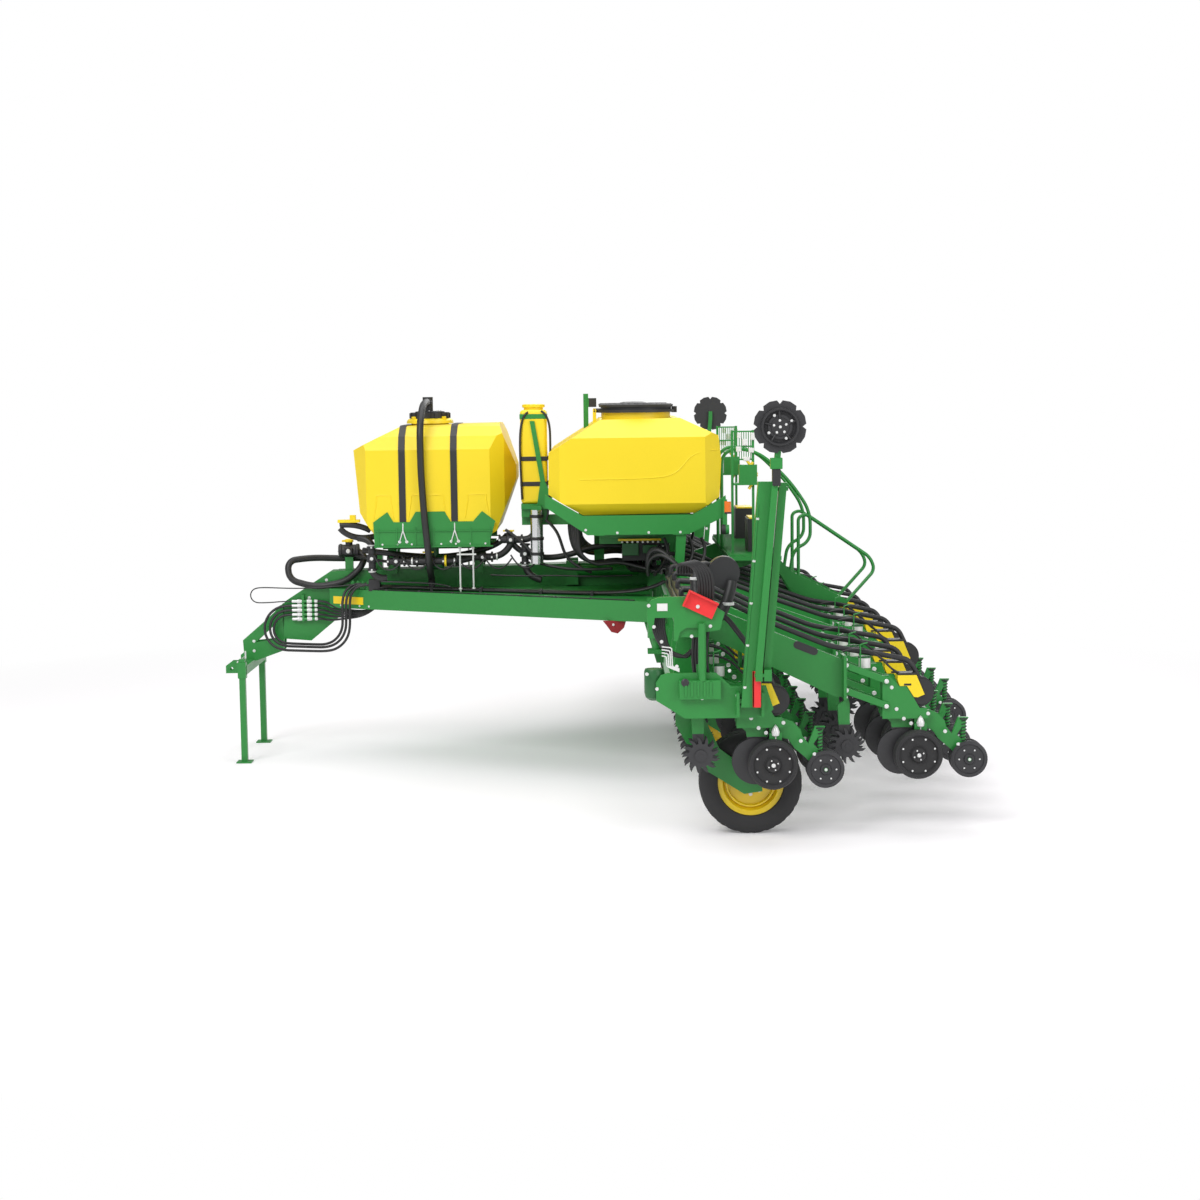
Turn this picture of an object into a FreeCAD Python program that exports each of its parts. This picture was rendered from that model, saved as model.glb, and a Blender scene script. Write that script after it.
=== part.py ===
import FreeCAD, Part
import math
import os
import re

import Sketcher
from FreeCAD import Placement, Rotation, Vector

# Row crop planter with two rows of row units, 24 in all. Millimetres, +Z up, -X is the way it is towed,
# +Y its right side. The origin lies on the ground below the middle of its outer box.

SIZES = {
    # Ground and rows
    "row_pitch": 762,
    "front_rank_shift": 381,
    "gauge_radius": 203,
    "gauge_width": 110,
    "gauge_side": 112,
    "gauge_pin": 15,
    "gauge_x": 611,
    "gauge_z": 650,
    "opener_radius": 190,
    "opener_side": 27,
    "opener_x": 477,
    "opener_z": 662,
    "closing_radius": 152,
    "closing_width": 32,
    "closing_side": 64,
    "closing_x": 1040,
    "closing_z": 596,
    "cleaner_radius": 155,
    "cleaner_side": 62,
    "cleaner_x": 33,
    "cleaner_z": 720,
    "link_reach": 329,
    "link_drop": 137,
    "link_side": 78,
    "cheek_side": 62,
    "bridge_z": 990,
    "link_front": 25,
    "upper_link_z": 1392,
    "lower_link_z": 1184,
    "shelf_z": 1212,
    "shelf_x": 461,
    "meter_x": 626,
    "meter_z": 1160,
    "meter_radius": 128,
    "hose_radius": 22,
    "hub_clearance": 0.05,
    # Toolbars
    "bar_size": 178,
    "bar_back": 937,
    "bar_middle_z": 1180,
    "top_bar_depth": 180,
    "top_bar_height": 200,
    "top_bar_front": 800,
    "top_bar_bottom": 1690,
    "centre_half": 2000,
    "wing_gap": 100,
    "wing_tip": 4700,
    "hook_x": 547,
    "hook_z": 2018,
    "low_x": 612,
    "low_z": 1405,
    "fan_x": 1180,
    "fan_z": 2180,
    "duct_x": 842,
    "duct_radius": 40,
    "duct_z": 1926,
    "rear_wing_face": 2163,
    "rear_centre_face": 2392,
    "beam_width": 60,
    "hinge_x": 690,
    "hinge_pin": 40,
    "hinge_eye": 78,
    "rail_radius": 17,
    # Wheels
    "wheel_x": 1398,
    "tyre_radius": 425,
    "tyre_width": 240,
    "rim_radius": 272,
    "axle_radius": 38,
    "wing_wheel_y": 4190,
    # Tongue
    "tongue_front": -3052,
    "beam_half": 130,
    "beam_front": -2500,
    "beam_front_top": 1871,
    "beam_back_top": 1932,
    "rail_bottom": 1506,
    "rail_height": 194,
    "rail_thick": 90,
    "rail_front": -2560,
    "rail_back": 640,
    "rail_spread": 1960,
    "deck_thick": 12,
    "level_x": -50,
    "level_z": 1850,
    "level_radius": 52,
    "coupler_x": -2950,
    "coupler_y": -175,
    "coupler_z": 1570,
    "coupler_pitch": 45,
    "block_x": -2080,
    "block_y": 390,
    "valve_x": -2370,
    "valve_y": -60,
    "valve_z": 2071,
    "valve_radius": 62,
    "loop_y": -185,
    "port_x": -2150,
    "port_y": 48,
    "port_z": 1985,
    # Hitch bar and stand legs
    "hitch_front": -3584,
    "hitch_x": -3400,
    "hitch_z": 930,
    "hitch_half": 560,
    "plate_pitch": 96,
    "leg_y": 610,
    "leg_size": 60,
    "leg_top": 1040,
    "sleeve_wall": 10,
    "leg_clearance": 0.5,
    "foot_size": 150,
    "foot_thick": 12,
    # Front tank
    "tank_front": -2247,
    "tank_back": -643,
    "tank_bottom": 2235,
    "tank_top": 3352,
    "tank_half": 720,
    "tank_round": 90,
    "tank_neck_x": -1523,
    "tank_neck": 190,
    # Seed hoppers
    "hopper_front": -303,
    "hopper_back": 1353,
    "hopper_bottom": 2476,
    "hopper_top": 3390,
    "hopper_inner": 60,
    "hopper_outer": 1440,
    "hopper_round": 80,
    "lid_x": 552,
    "lid_y": 760,
    "lid_radius": 380,
    "lid_height": 62,
    "neck_height": 55,
    "lid_hinge_x": 147,
    "lid_hinge_z": 3460,
    "lid_pin": 8,
    # Slim tank
    "slim_x": -457,
    "slim_y": -520,
    "slim_half": 130,
    "slim_bottom": 2556,
    "slim_top": 3480,
    "drum_shift": 200,
    "drum_bottom": 1970,
    # Markers
    "marker_x": 1360,
    "marker_y": 4790,
    "marker_base_z": 1180,
    "marker_top_z": 2870,
    "marker_lean": 150,
    "marker_width": 150,
    "disc_radius": 207,
    "disc_z": 3360,
    "disc_x": 1594,
    "marker_pin": 20,
    "marker_link_pin": 16,
    "marker_gap": 8,
    "marker_stack": 95,
    "marker_foot": 42,
    "marker_knee_z": 1400,
    "cylinder_x": 1378,
    "cylinder_base_y": 4010,
    "cylinder_base_z": 1395,
    "horn_height": 220,
    "horn_reach": 130,
    "rod_radius": 18,
    "seat_gap": 0.3,
}

doc = FreeCAD.newDocument("planter")
sheet = doc.addObject("Spreadsheet::Sheet", "Sizes")
for row_number, (alias, size) in enumerate(SIZES.items(), start=1):
    sheet.set(f"A{row_number}", alias)
    sheet.set(f"B{row_number}", str(size))
    sheet.setAlias(f"B{row_number}", alias)
doc.recompute()

WORD = re.compile(r"[a-z_]+[a-z0-9_]*")
NODES = []


def in_sheet(text):
    """Return the expression with each size's name led by the sheet's name."""
    return WORD.sub(lambda found: ("Sizes." if found.group(0) in SIZES else "") + found.group(0), str(text))


def number(text):
    """Return the value of an expression in the sheet's sizes."""
    return float(sheet.evalExpression(in_sheet(text).replace("Sizes.", "")))


def bind(item, prop, text):
    """Tie one property to an expression in the sheet's sizes."""
    item.setExpression(prop, in_sheet(text))


def place(item, at, turn=None):
    """Set an object's place, tied to the sheet, after an optional turn."""
    item.Placement = Placement(Vector(*[number(value) for value in at]), turn or Rotation())
    for letter, value in zip("xyz", at):
        bind(item, f"Placement.Base.{letter}", value)
    return item


def new_sketch(body, name, plane, loops, circles=()):
    """Draw closed loops of corners, and circles, on one of the body's own planes."""
    sketch = body.newObject("Sketcher::SketchObject", name + "_sketch")
    support = [item for item in body.Origin.OriginFeatures if item.Role == plane][0]
    sketch.AttachmentSupport = [(support, "")]
    sketch.MapMode = "FlatFace"
    for corners in loops:
        first = sketch.GeometryCount
        spots = [Vector(number(x), number(y), 0) for x, y in corners]
        for start, end in zip(spots, spots[1:] + spots[:1]):
            sketch.addGeometry(Part.LineSegment(start, end), False)
        for index, (x, y) in enumerate(corners):
            edge = first + index
            follower = first + (index + 1) % len(corners)
            sketch.addConstraint(Sketcher.Constraint("Coincident", edge, 2, follower, 1))
            for kind, text, spot in (("DistanceX", x, spots[index].x), ("DistanceY", y, spots[index].y)):
                made = sketch.addConstraint(Sketcher.Constraint(kind, -1, 1, edge, 1, spot))
                label = f"{kind[-1].lower()}_{edge}"
                sketch.renameConstraint(made, label)
                bind(sketch, f"Constraints.{label}", text)
    for x, y, radius in circles:
        centre = Vector(number(x), number(y), 0)
        edge = sketch.addGeometry(Part.Circle(centre, Vector(0, 0, 1), number(radius)), False)
        made = sketch.addConstraint(Sketcher.Constraint("Radius", edge, number(radius)))
        sketch.renameConstraint(made, f"r_{edge}")
        bind(sketch, f"Constraints.r_{edge}", radius)
        for kind, text, spot in (("DistanceX", x, centre.x), ("DistanceY", y, centre.y)):
            made = sketch.addConstraint(Sketcher.Constraint(kind, -1, 1, edge, 3, spot))
            label = f"{kind[-1].lower()}_{edge}"
            sketch.renameConstraint(made, label)
            bind(sketch, f"Constraints.{label}", text)
    return sketch


def pad(name, outline, depth, at=(0, 0, 0), plane="XZ_Plane", holes=(), circles=(), rounding=None):
    """Pad an outline to both sides of its plane, with holes and rounded edges where asked."""
    body = doc.addObject("PartDesign::Body", name)
    feature = body.newObject("PartDesign::Pad", name + "_pad")
    feature.Profile = new_sketch(body, name, plane, [outline, *holes], circles)
    feature.Midplane = True
    bind(feature, "Length", depth)
    body.Tip = feature
    if rounding:
        doc.recompute()
        fillet = body.newObject("PartDesign::Fillet", name + "_fillet")
        fillet.Base = (feature, [f"Edge{n + 1}" for n in range(len(feature.Shape.Edges))])
        bind(fillet, "Radius", rounding)
        body.Tip = fillet
    return place(body, at)


def turned(name, outline, at=(0, 0, 0)):
    """Turn an outline of radius and side, once round the Y axis."""
    body = doc.addObject("PartDesign::Body", name)
    feature = body.newObject("PartDesign::Revolution", name + "_turn")
    sketch = new_sketch(body, name, "XY_Plane", [outline])
    feature.Profile = sketch
    feature.ReferenceAxis = (sketch, ["V_Axis"])
    feature.Angle = 360
    body.Tip = feature
    return place(body, at)


def block(name, size, middle):
    """Make a box about its middle."""
    item = doc.addObject("Part::Box", name)
    for prop, value in zip(("Length", "Width", "Height"), size):
        bind(item, prop, value)
    return place(item, [f"({mid}) - ({side}) / 2" for mid, side in zip(middle, size)])


TURNS = {
    "X": Rotation(Vector(0, 1, 0), 90),
    "Y": Rotation(Vector(1, 0, 0), -90),
    "Z": Rotation(),
}


def rod(name, radius, start, length, axis="Y"):
    """Make a cylinder from a start along one axis."""
    item = doc.addObject("Part::Cylinder", name)
    bind(item, "Radius", radius)
    bind(item, "Height", length)
    return place(item, start, TURNS[axis])


def cut(name, base, tool):
    """Cut one object from another."""
    item = doc.addObject("Part::Cut", name)
    item.Base = base
    item.Tool = tool
    return item


def joined(name, pieces):
    """Fuse touching pieces to one."""
    item = doc.addObject("Part::MultiFuse", name)
    item.Shapes = pieces
    item.Refine = False
    return item


def gathered(name, pieces):
    """Hold separate pieces as one object."""
    item = doc.addObject("Part::Compound", name)
    item.Links = pieces
    return item


def copy_at(name, source, at):
    """Link to an object at another place."""
    link = doc.addObject("App::Link", name)
    link.LinkedObject = source
    return place(link, at)


def spread(name, source, places):
    """Repeat one object at each of the places."""
    return gathered(name, [copy_at(f"{name}_{n}", source, at) for n, at in enumerate(places)])


def mirrored(name, source):
    """Mirror an object to the other side of the planter."""
    item = doc.addObject("Part::Mirroring", name)
    item.Source = source
    item.Normal = Vector(0, 1, 0)
    return item


def keep(name, item):
    """Name an object as a sub-part that is written to its own file."""
    item.Label = name
    NODES.append(item)
    return item


def pipe_path(points):
    """Join straight runs with tangent arcs; give the wire and the radius of each bend."""
    edges = []
    bends = []
    here = points[0]
    for before, corner, after in zip(points, points[1:], points[2:]):
        back = (before - corner).normalize()
        ahead = (after - corner).normalize()
        half_turn = (math.pi - back.getAngle(ahead)) / 2
        run = min((before - corner).Length, (after - corner).Length)
        reach = 0.45 * run
        bend = reach / math.tan(half_turn)
        start = corner + back * reach
        end = corner + ahead * reach
        inward = (back + ahead).normalize()
        middle = corner + inward * (bend / math.cos(half_turn) - bend)
        edges.append(Part.LineSegment(here, start).toShape())
        edges.append(Part.Arc(start, middle, end).toShape())
        bends.append(bend)
        here = end
    edges.append(Part.LineSegment(here, points[-1]).toShape())
    return Part.Wire(edges), bends


def pipe_shape(points, path, radius):
    """Sweep a round section along a wire that starts with a straight run."""
    section = Part.Wire(Part.Circle(points[0], points[1] - points[0], radius).toShape())
    return path.makePipeShell([section], True, True)


def pipe(name, points, radius):
    """Make a tube or hose whose corners are expressions in the sheet's sizes."""
    spots = [Vector(*[number(v) for v in spot]) for spot in points]
    item = doc.addObject("Part::Feature", name)
    item.Shape = pipe_shape(spots, pipe_path(spots)[0], number(radius))
    return item


def laid_hose(name, route, radius):
    """Lay a free hose along its route, then print its length and bends and compare its volume."""
    spots = [Vector(*spot) for spot in route]
    path, bends = pipe_path(spots)
    item = doc.addObject("Part::Feature", name)
    item.Shape = pipe_shape(spots, path, radius)
    expected = math.pi * radius ** 2 * path.Length
    print(name, "length", round(path.Length), "radii", [round(bend) for bend in bends])
    if abs(item.Shape.Volume - expected) > 0.01 * expected:
        raise RuntimeError(f"{name} doesn't fill its route")
    return item


# Row units. Their X starts at the face that the unit is bolted to, their Z at the ground.

def unit_frame():
    """Build the green frame of one row unit: plate, parallel links, shank and closing arm."""
    back = "link_front + link_reach"
    pieces = [block("unit_plate", ("24", "240", "360"), ("12", "0", "(upper_link_z + lower_link_z) / 2"))]
    for side in (-1, 1):
        for level in ("upper", "lower"):
            top = f"{level}_link_z"
            outline = [
                ("10", f"{top} - 28"), (f"{back} + 20", f"{top} - link_drop - 28"),
                (f"{back} + 20", f"{top} - link_drop + 28"), ("10", f"{top} + 28"),
            ]
            pieces.append(pad(f"link_{level}_{side + 1}", outline, "22", (0, f"link_side * {side}", 0)))
    head = [
        (f"{back} - 40", "lower_link_z - link_drop - 60"), ("opener_x - 75", "opener_z + 240"),
        ("opener_x - 30", "opener_z - 60"), ("opener_x + 45", "opener_z - 60"),
        ("gauge_x - 20", "bridge_z - 240"),
        ("gauge_x - 60", "bridge_z + 30"), (f"{back} + 30", "upper_link_z - link_drop + 40"),
        (f"{back} - 40", "upper_link_z - link_drop + 40"),
    ]
    pieces.append(pad("unit_shank", head, "26"))
    for side in (-1, 1):
        cheek = [
            (f"{back} - 30", "bridge_z - 50"), ("gauge_x + 90", "bridge_z - 50"),
            ("gauge_x + 90", "bridge_z + 10"), ("meter_x + 10", "bridge_z + 27"),
            ("shelf_x + 62", "shelf_z"), ("shelf_x", "shelf_z"),
            (f"{back} + 25", "upper_link_z - link_drop + 45"),
            (f"{back} - 30", "upper_link_z - link_drop + 45"),
        ]
        pieces.append(pad(f"unit_cheek_{side + 1}", cheek, "10", (0, f"cheek_side * {side}", 0)))
        arm = [
            ("gauge_x - 30", "gauge_z - 25"), ("gauge_x + 30", "gauge_z - 25"),
            ("gauge_x + 50", "bridge_z - 10"), ("gauge_x - 20", "bridge_z - 10"),
        ]
        pieces.append(pad(f"gauge_arm_{side + 1}", arm, "10", (0, 47 * side, 0)))
        start = "42" if side > 0 else "-42 - gauge_width - 14"
        pieces.append(rod(
            f"gauge_pin_{side + 1}", "gauge_pin", ("gauge_x", start, "gauge_z"), "gauge_width + 14"))
    pieces.append(block(
        "unit_bridge", ("180", "2 * cheek_side + 10", "70"), ("gauge_x - 10", "0", "bridge_z")))
    casting = [
        ("gauge_x - 20", "bridge_z - 120"), ("gauge_x + 20", "bridge_z + 10"),
        ("closing_x - 320", "bridge_z + 12"),
        ("closing_x - 258", "bridge_z - 13"), ("closing_x - 196", "bridge_z - 77"),
        ("closing_x - 184", "bridge_z - 127"), ("closing_x - 135", "closing_z + 204"),
        ("closing_x - 82", "bridge_z - 52"), ("closing_x + 2", "bridge_z - 53"),
        ("closing_x - 95", "closing_z + 200"), ("closing_x - 48", "closing_z + 153"),
        ("closing_x + 30", "closing_z + 60"), ("closing_x + 30", "closing_z - 35"),
        ("closing_x - 30", "closing_z - 35"), ("closing_x - 161", "closing_z + 92"),
        ("closing_x - 248", "closing_z + 168"), ("closing_x - 300", "bridge_z - 150"),
    ]
    pieces.append(pad("closing_casting", casting, "44"))
    pieces.append(rod(
        "closing_spring", "22",
        ("closing_x - 40", "0", "closing_z + 120"), "bridge_z - closing_z - 190", "Z"))
    pieces.append(rod(
        "closing_pin", "gauge_pin", ("closing_x", "-closing_side - closing_width / 2 - 12", "closing_z"),
        "2 * closing_side + closing_width + 24"))
    pieces.append(rod("opener_pin", "22", ("opener_x", "-40", "opener_z"), "80"))
    cleaner_arm = [
        ("12", "lower_link_z - 40"), ("12", "lower_link_z - 100"), ("-40", "lower_link_z - 130"),
        ("cleaner_x - 60", "cleaner_z + 90"),
        ("cleaner_x - 25", "cleaner_z - 25"), ("cleaner_x + 25", "cleaner_z - 25"),
        ("cleaner_x + 30", "cleaner_z + 90"), ("60", "lower_link_z - 120"), ("24", "lower_link_z + 20"),
    ]
    pieces.append(pad("cleaner_arm", cleaner_arm, "40"))
    pieces.append(rod(
        "cleaner_pin", "18", ("cleaner_x", "-cleaner_side - 20", "cleaner_z"), "2 * cleaner_side + 40"))
    pod_z = "upper_link_z - link_drop / 2 + 28"
    pieces.append(block(
        "actuator_seat", ("60", "2 * link_side", "14"), ("link_front + 160", "0", f"{pod_z} - 5")))
    pieces.append(rod("actuator_pod", "48", ("link_front + 160", "0", pod_z), "90", "Z"))
    return joined("unit_frame", pieces)


def opener_disc():
    """Turn one flat opener disc about its own centre."""
    bore = "22 + seat_gap"
    outline = [(bore, "-2.5"), ("opener_radius", "-2.5"), ("opener_radius", "2.5"), (bore, "2.5")]
    return turned("opener_disc", outline)


def gauge_wheel(side):
    """Turn one gauge wheel: a rubber rim on a dished steel disc."""
    inner = f"{-side} * gauge_width / 2"
    outer = f"{side} * gauge_width / 2"
    bore = "gauge_pin + hub_clearance"
    outline = [
        (bore, f"{side} * 12"), (bore, outer), ("55", outer), ("70", f"{side} * 20"),
        ("gauge_radius - 50", f"{side} * 30"), ("gauge_radius - 42", outer), ("gauge_radius - 12", outer),
        ("gauge_radius", f"{side} * 25"), ("gauge_radius", f"{-side} * 25"), ("gauge_radius - 12", inner),
        ("gauge_radius - 42", inner), ("gauge_radius - 50", f"{side} * 4"), ("70", f"{side} * 4"),
    ]
    return turned(f"gauge_wheel_{side + 1}", outline)


def closing_wheel():
    """Turn one closing wheel."""
    bore = "gauge_pin + hub_clearance"
    outline = [
        (bore, "-20"), ("40", "-20"), ("48", "-6"), ("closing_radius - 34", "-6"),
        ("closing_radius - 28", "-closing_width / 2"), ("closing_radius", "-closing_width / 4"),
        ("closing_radius", "closing_width / 4"), ("closing_radius - 28", "closing_width / 2"),
        ("closing_radius - 34", "6"), ("48", "6"), ("40", "20"), (bore, "20"),
    ]
    return turned("closing_wheel", outline)


def cleaner_wheel():
    """Build one row cleaner: a ring of swept, hooked teeth round a hub."""
    teeth = 13
    thick = 12
    radius = number("cleaner_radius")
    profile = ((0, 0.62), (0.1, 0.74), (0.34, 0.9), (0.66, 1), (0.62, 0.84), (0.58, 0.72), (0.66, 0.62))
    corners = []
    for tooth in range(teeth):
        for turn, reach in profile:
            angle = 2 * math.pi * (tooth + turn) / teeth
            corners.append(
                radius * reach * Vector(math.cos(angle), 0, math.sin(angle)) - Vector(0, thick / 2, 0))
    face = Part.Face(Part.makePolygon(corners + corners[:1]))
    bore = Part.makeCylinder(18 + number("seat_gap"), 4 * thick, Vector(0, -2 * thick, 0), Vector(0, 1, 0))
    hub = Part.makeCylinder(48, 3 * thick, Vector(0, -1.5 * thick, 0), Vector(0, 1, 0))
    item = doc.addObject("Part::Feature", "cleaner_wheel")
    item.Shape = face.extrude(Vector(0, thick, 0)).fuse(hub).cut(bore)
    return item


def beam_top(x, face):
    """Give the height of a rear beam's top edge at one X."""
    high = "top_bar_bottom + top_bar_height + 60"
    start = "(top_bar_front + 120)"
    return f"{high} - (({x}) - {start}) * ({high} - upper_link_z - 40) / (({face}) - {start})"


HOSE_END = [("560", "0", "meter_z + meter_radius + 132"), ("meter_x", "0", "meter_z + meter_radius - 10")]
FRONT_HOSE = [
    ("duct_x - bar_back + duct_radius + seat_gap", "0", "duct_z"), ("70", "0", "duct_z"),
    ("240", "0", "duct_z - 80"),
    ("430", "0", "duct_z - 330"), *HOSE_END,
]


def rear_hose(face):
    """List the way of the hose to one rear row's meter, along the top of its beam."""
    top = "duct_z + duct_radius + seat_gap"
    route = [
        (f"duct_x - {face}", "0", top), (f"duct_x - {face}", "0", f"{top} + 60"),
        (f"1060 - {face}", "0", f"{top} + 40"),
    ]
    for x in ("1500", f"{face} - 113"):
        route.append((f"{x} - {face}", "0", f"{beam_top(x, face)} + 66"))
    return route + [("60", "0", "upper_link_z + 118"), ("330", "0", "upper_link_z + 73"), *HOSE_END]


def seed_meter(name, hose_route):
    """Build one meter: round housing, sloping cover, and the hose that feeds it."""
    house = rod(f"meter_house_{name}", "meter_radius", ("meter_x", "-40", "meter_z"), "80")
    base = "shelf_z + seat_gap"
    cover = [
        ("shelf_x - 14", f"{base} + 50"), ("shelf_x + 5", base), ("shelf_x + 63", base),
        ("shelf_x + 121", f"{base} - 92"), ("shelf_x + 153", f"{base} - 96"),
        ("shelf_x + 209", f"{base} - 72"),
        ("shelf_x + 142", f"{base} + 88"), ("shelf_x - 10", f"{base} + 88"),
    ]
    lid = pad(f"meter_cover_{name}", cover, "150")
    feed = pipe(f"meter_hose_{name}", hose_route, "hose_radius")
    return joined(f"seed_meter_{name}", [house, lid, feed])


def rank_places(ys, face, x="0", y="0", z="0"):
    """List a place for each row of one rank."""
    return [(f"{face} + ({x})", f"({row}) * row_pitch + ({y})", z) for row in ys]


FRONT_LEFT = [-6, -5, -4, -3]
FRONT_CENTRE = [-2, -1, 0, 1, 2]
FRONT_RIGHT = [3, 4, 5]
REAR_LEFT = [-5.5, -4.5, -3.5]
REAR_CENTRE = [-2.5, -1.5, -0.5, 0.5, 1.5, 2.5]
REAR_RIGHT = [3.5, 4.5, 5.5]


def row_units():
    """Place the row units of the centre section and of both wings, kind by kind."""
    frame = unit_frame()
    opener = opener_disc()
    cleaner = cleaner_wheel()
    meters = {
        "bar_back": seed_meter("front", FRONT_HOSE),
        "rear_wing_face": seed_meter("rear_wing", rear_hose("rear_wing_face")),
        "rear_centre_face": seed_meter("rear_centre", rear_hose("rear_centre_face")),
    }
    gauges = {side: gauge_wheel(side) for side in (-1, 1)}
    closer = closing_wheel()
    for name, front, rear, rear_face in (
            ("left", FRONT_LEFT, REAR_LEFT, "rear_wing_face"),
            ("centre", FRONT_CENTRE, REAR_CENTRE, "rear_centre_face"),
            ("right", FRONT_RIGHT, REAR_RIGHT, "rear_wing_face")):
        ranks = {"front": (front, "bar_back"), "rear": (rear, rear_face)}

        def every(x="0", y="0", z="0", ranks=ranks):
            return [at for rows, face in ranks.values() for at in rank_places(rows, face, x, y, z)]

        frames = [copy_at(f"frame_{name}_{n}", frame, at) for n, at in enumerate(every())]
        for side in (-1, 1):
            for n, at in enumerate(every("opener_x", f"{side} * opener_side", "opener_z")):
                frames.append(copy_at(f"opener_{name}_{side + 1}_{n}", opener, at))
            for n, at in enumerate(every("cleaner_x", f"{side} * cleaner_side", "cleaner_z")):
                frames.append(copy_at(f"cleaner_{name}_{side + 1}_{n}", cleaner, at))
        keep(f"row_units_{name}", gathered(f"row_units_{name}_all", frames))
        fed = [
            copy_at(f"meter_{name}_{rank}_{n}", meters[face], at)
            for rank, (rows, face) in ranks.items() for n, at in enumerate(rank_places(rows, face))]
        keep(f"seed_meters_{name}", gathered(f"meters_{name}", fed))
        for rank, (rows, face) in ranks.items():
            turned_wheels = []
            closers = []
            for side in (-1, 1):
                spots = rank_places(rows, face, "gauge_x", f"{side} * gauge_side", "gauge_z")
                for n, at in enumerate(spots):
                    turned_wheels.append(copy_at(f"gauge_{name}_{rank}_{side + 1}_{n}", gauges[side], at))
                closers += rank_places(rows, face, "closing_x", f"{side} * closing_side", "closing_z")
            keep(f"gauge_wheels_{name}_{rank}", gathered(f"gauges_{name}_{rank}", turned_wheels))
            keep(f"closing_wheels_{name}_{rank}", spread(f"closers_{name}_{rank}", closer, closers))


# Toolbars

def rear_beam(name, row, face):
    """Pad one sloping beam that carries a rear row unit."""
    outline = [
        ("top_bar_front + 120", "top_bar_bottom + 10"), (f"{face} - 60", "lower_link_z - 60"),
        (face, "lower_link_z - 60"), (face, "upper_link_z + 40"),
        ("top_bar_front + 120", "top_bar_bottom + top_bar_height + 60"),
    ]
    return pad(name, outline, "beam_width", (0, f"({row}) * row_pitch", 0))


def bar_pair(name, start, end):
    """Make the lower and the upper tube between two sides."""
    middle = f"(({start}) + ({end})) / 2"
    length = f"({end}) - ({start})"
    lower = block(
        f"{name}_lower", ("bar_size", length, "bar_size"),
        ("bar_back - bar_size / 2", middle, "bar_middle_z"))
    upper = block(
        f"{name}_upper", ("top_bar_depth", length, "top_bar_height"),
        ("top_bar_front + top_bar_depth / 2", middle, "top_bar_bottom + top_bar_height / 2"))
    return [lower, upper]


def web(name, y, thick="20"):
    """Pad one upright plate between the lower and the upper tube."""
    outline = [
        ("bar_back - bar_size + 5", "bar_middle_z + bar_size / 2 - 5"),
        ("bar_back - 10", "bar_middle_z + bar_size / 2 - 5"),
        ("bar_back - 10", "top_bar_bottom + 5"), ("bar_back - bar_size + 50", "top_bar_bottom + 5"),
    ]
    return pad(name, outline, thick, (0, y, 0))


def wheel_arm(name, y, side):
    """Build one wheel arm with its axle; it stands on one side of the wheel."""
    outline = [
        ("bar_back - bar_size + 20", "bar_middle_z"), ("bar_back - 20", "bar_middle_z"),
        ("wheel_x - 260", "tyre_radius + 300"), ("wheel_x - 40", "tyre_radius + 130"),
        ("wheel_x + 90", "tyre_radius + 60"), ("wheel_x + 90", "tyre_radius - 60"),
        ("wheel_x - 60", "tyre_radius - 80"), ("wheel_x - 420", "tyre_radius + 150"),
        ("bar_back - bar_size + 20", "bar_middle_z - 250"),
    ]
    plate_y = f"({y}) + {side} * (tyre_width / 2 + 22)"
    plate = pad(name, outline, "24", (0, plate_y, 0))
    far = f"({y}) - tyre_width / 2 + 40" if side > 0 else plate_y
    axle = rod(f"{name}_axle", "axle_radius", ("wheel_x", far, "tyre_radius"), "tyre_width - 18")
    return [plate, axle]


def centre_toolbar():
    """Build the centre section's toolbar with wheel arms, beams and hinge pins."""
    pieces = bar_pair("centre_bar", "-centre_half", "centre_half")
    for n, row in enumerate([-2.5, -1.5, -0.5, 0.5, 1.5, 2.5]):
        pieces.append(web(f"centre_web_{n}", f"({row}) * row_pitch"))
        pieces.append(rear_beam(f"centre_beam_{n}", row, "rear_centre_face"))
    for n, (row, side) in enumerate([(-1.5, -1), (-0.5, -1), (0.5, 1), (1.5, 1)]):
        pieces += wheel_arm(f"centre_wheel_arm_{n}", f"({row}) * row_pitch", side)
    for side in (-1, 1):
        for n, level in enumerate(("bar_middle_z + bar_size / 2 - 20", "top_bar_bottom + 35")):
            lug = [
                ("hinge_x - hinge_eye", f"{side} * ((centre_half + wing_gap / 2) + 55)"),
                ("hinge_x + 50", f"{side} * ((centre_half + wing_gap / 2) + 55)"),
                ("bar_back - 40", f"{side} * (centre_half - 10)"),
                ("bar_back - 40", f"{side} * (centre_half - 240)"),
                ("top_bar_front - 30", f"{side} * (centre_half - 240)"),
                ("top_bar_front - 30", f"{side} * (rail_spread - 35)"),
                ("hinge_x - hinge_eye", f"{side} * (rail_spread + 15)"),
            ]
            pieces.append(pad(f"hinge_lug_{side + 1}_{n}", lug, "40", (0, 0, level), "XY_Plane"))
        pieces.append(rod(
            f"hinge_pin_{side + 1}", "hinge_pin",
            ("hinge_x", f"{side} * (centre_half + wing_gap / 2)", "bar_middle_z + bar_size / 2 - 30"),
            "top_bar_bottom - bar_middle_z - bar_size / 2 + 90", "Z"))
    for side in (-1, 1):
        start = "350" if side > 0 else "-centre_half + 40"
        pieces.append(rod(
            f"centre_duct_{side + 1}", "duct_radius", ("duct_x", start, "duct_z"), "centre_half - 390"))
    keep("centre_toolbar", joined("centre_toolbar_all", pieces))


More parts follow.
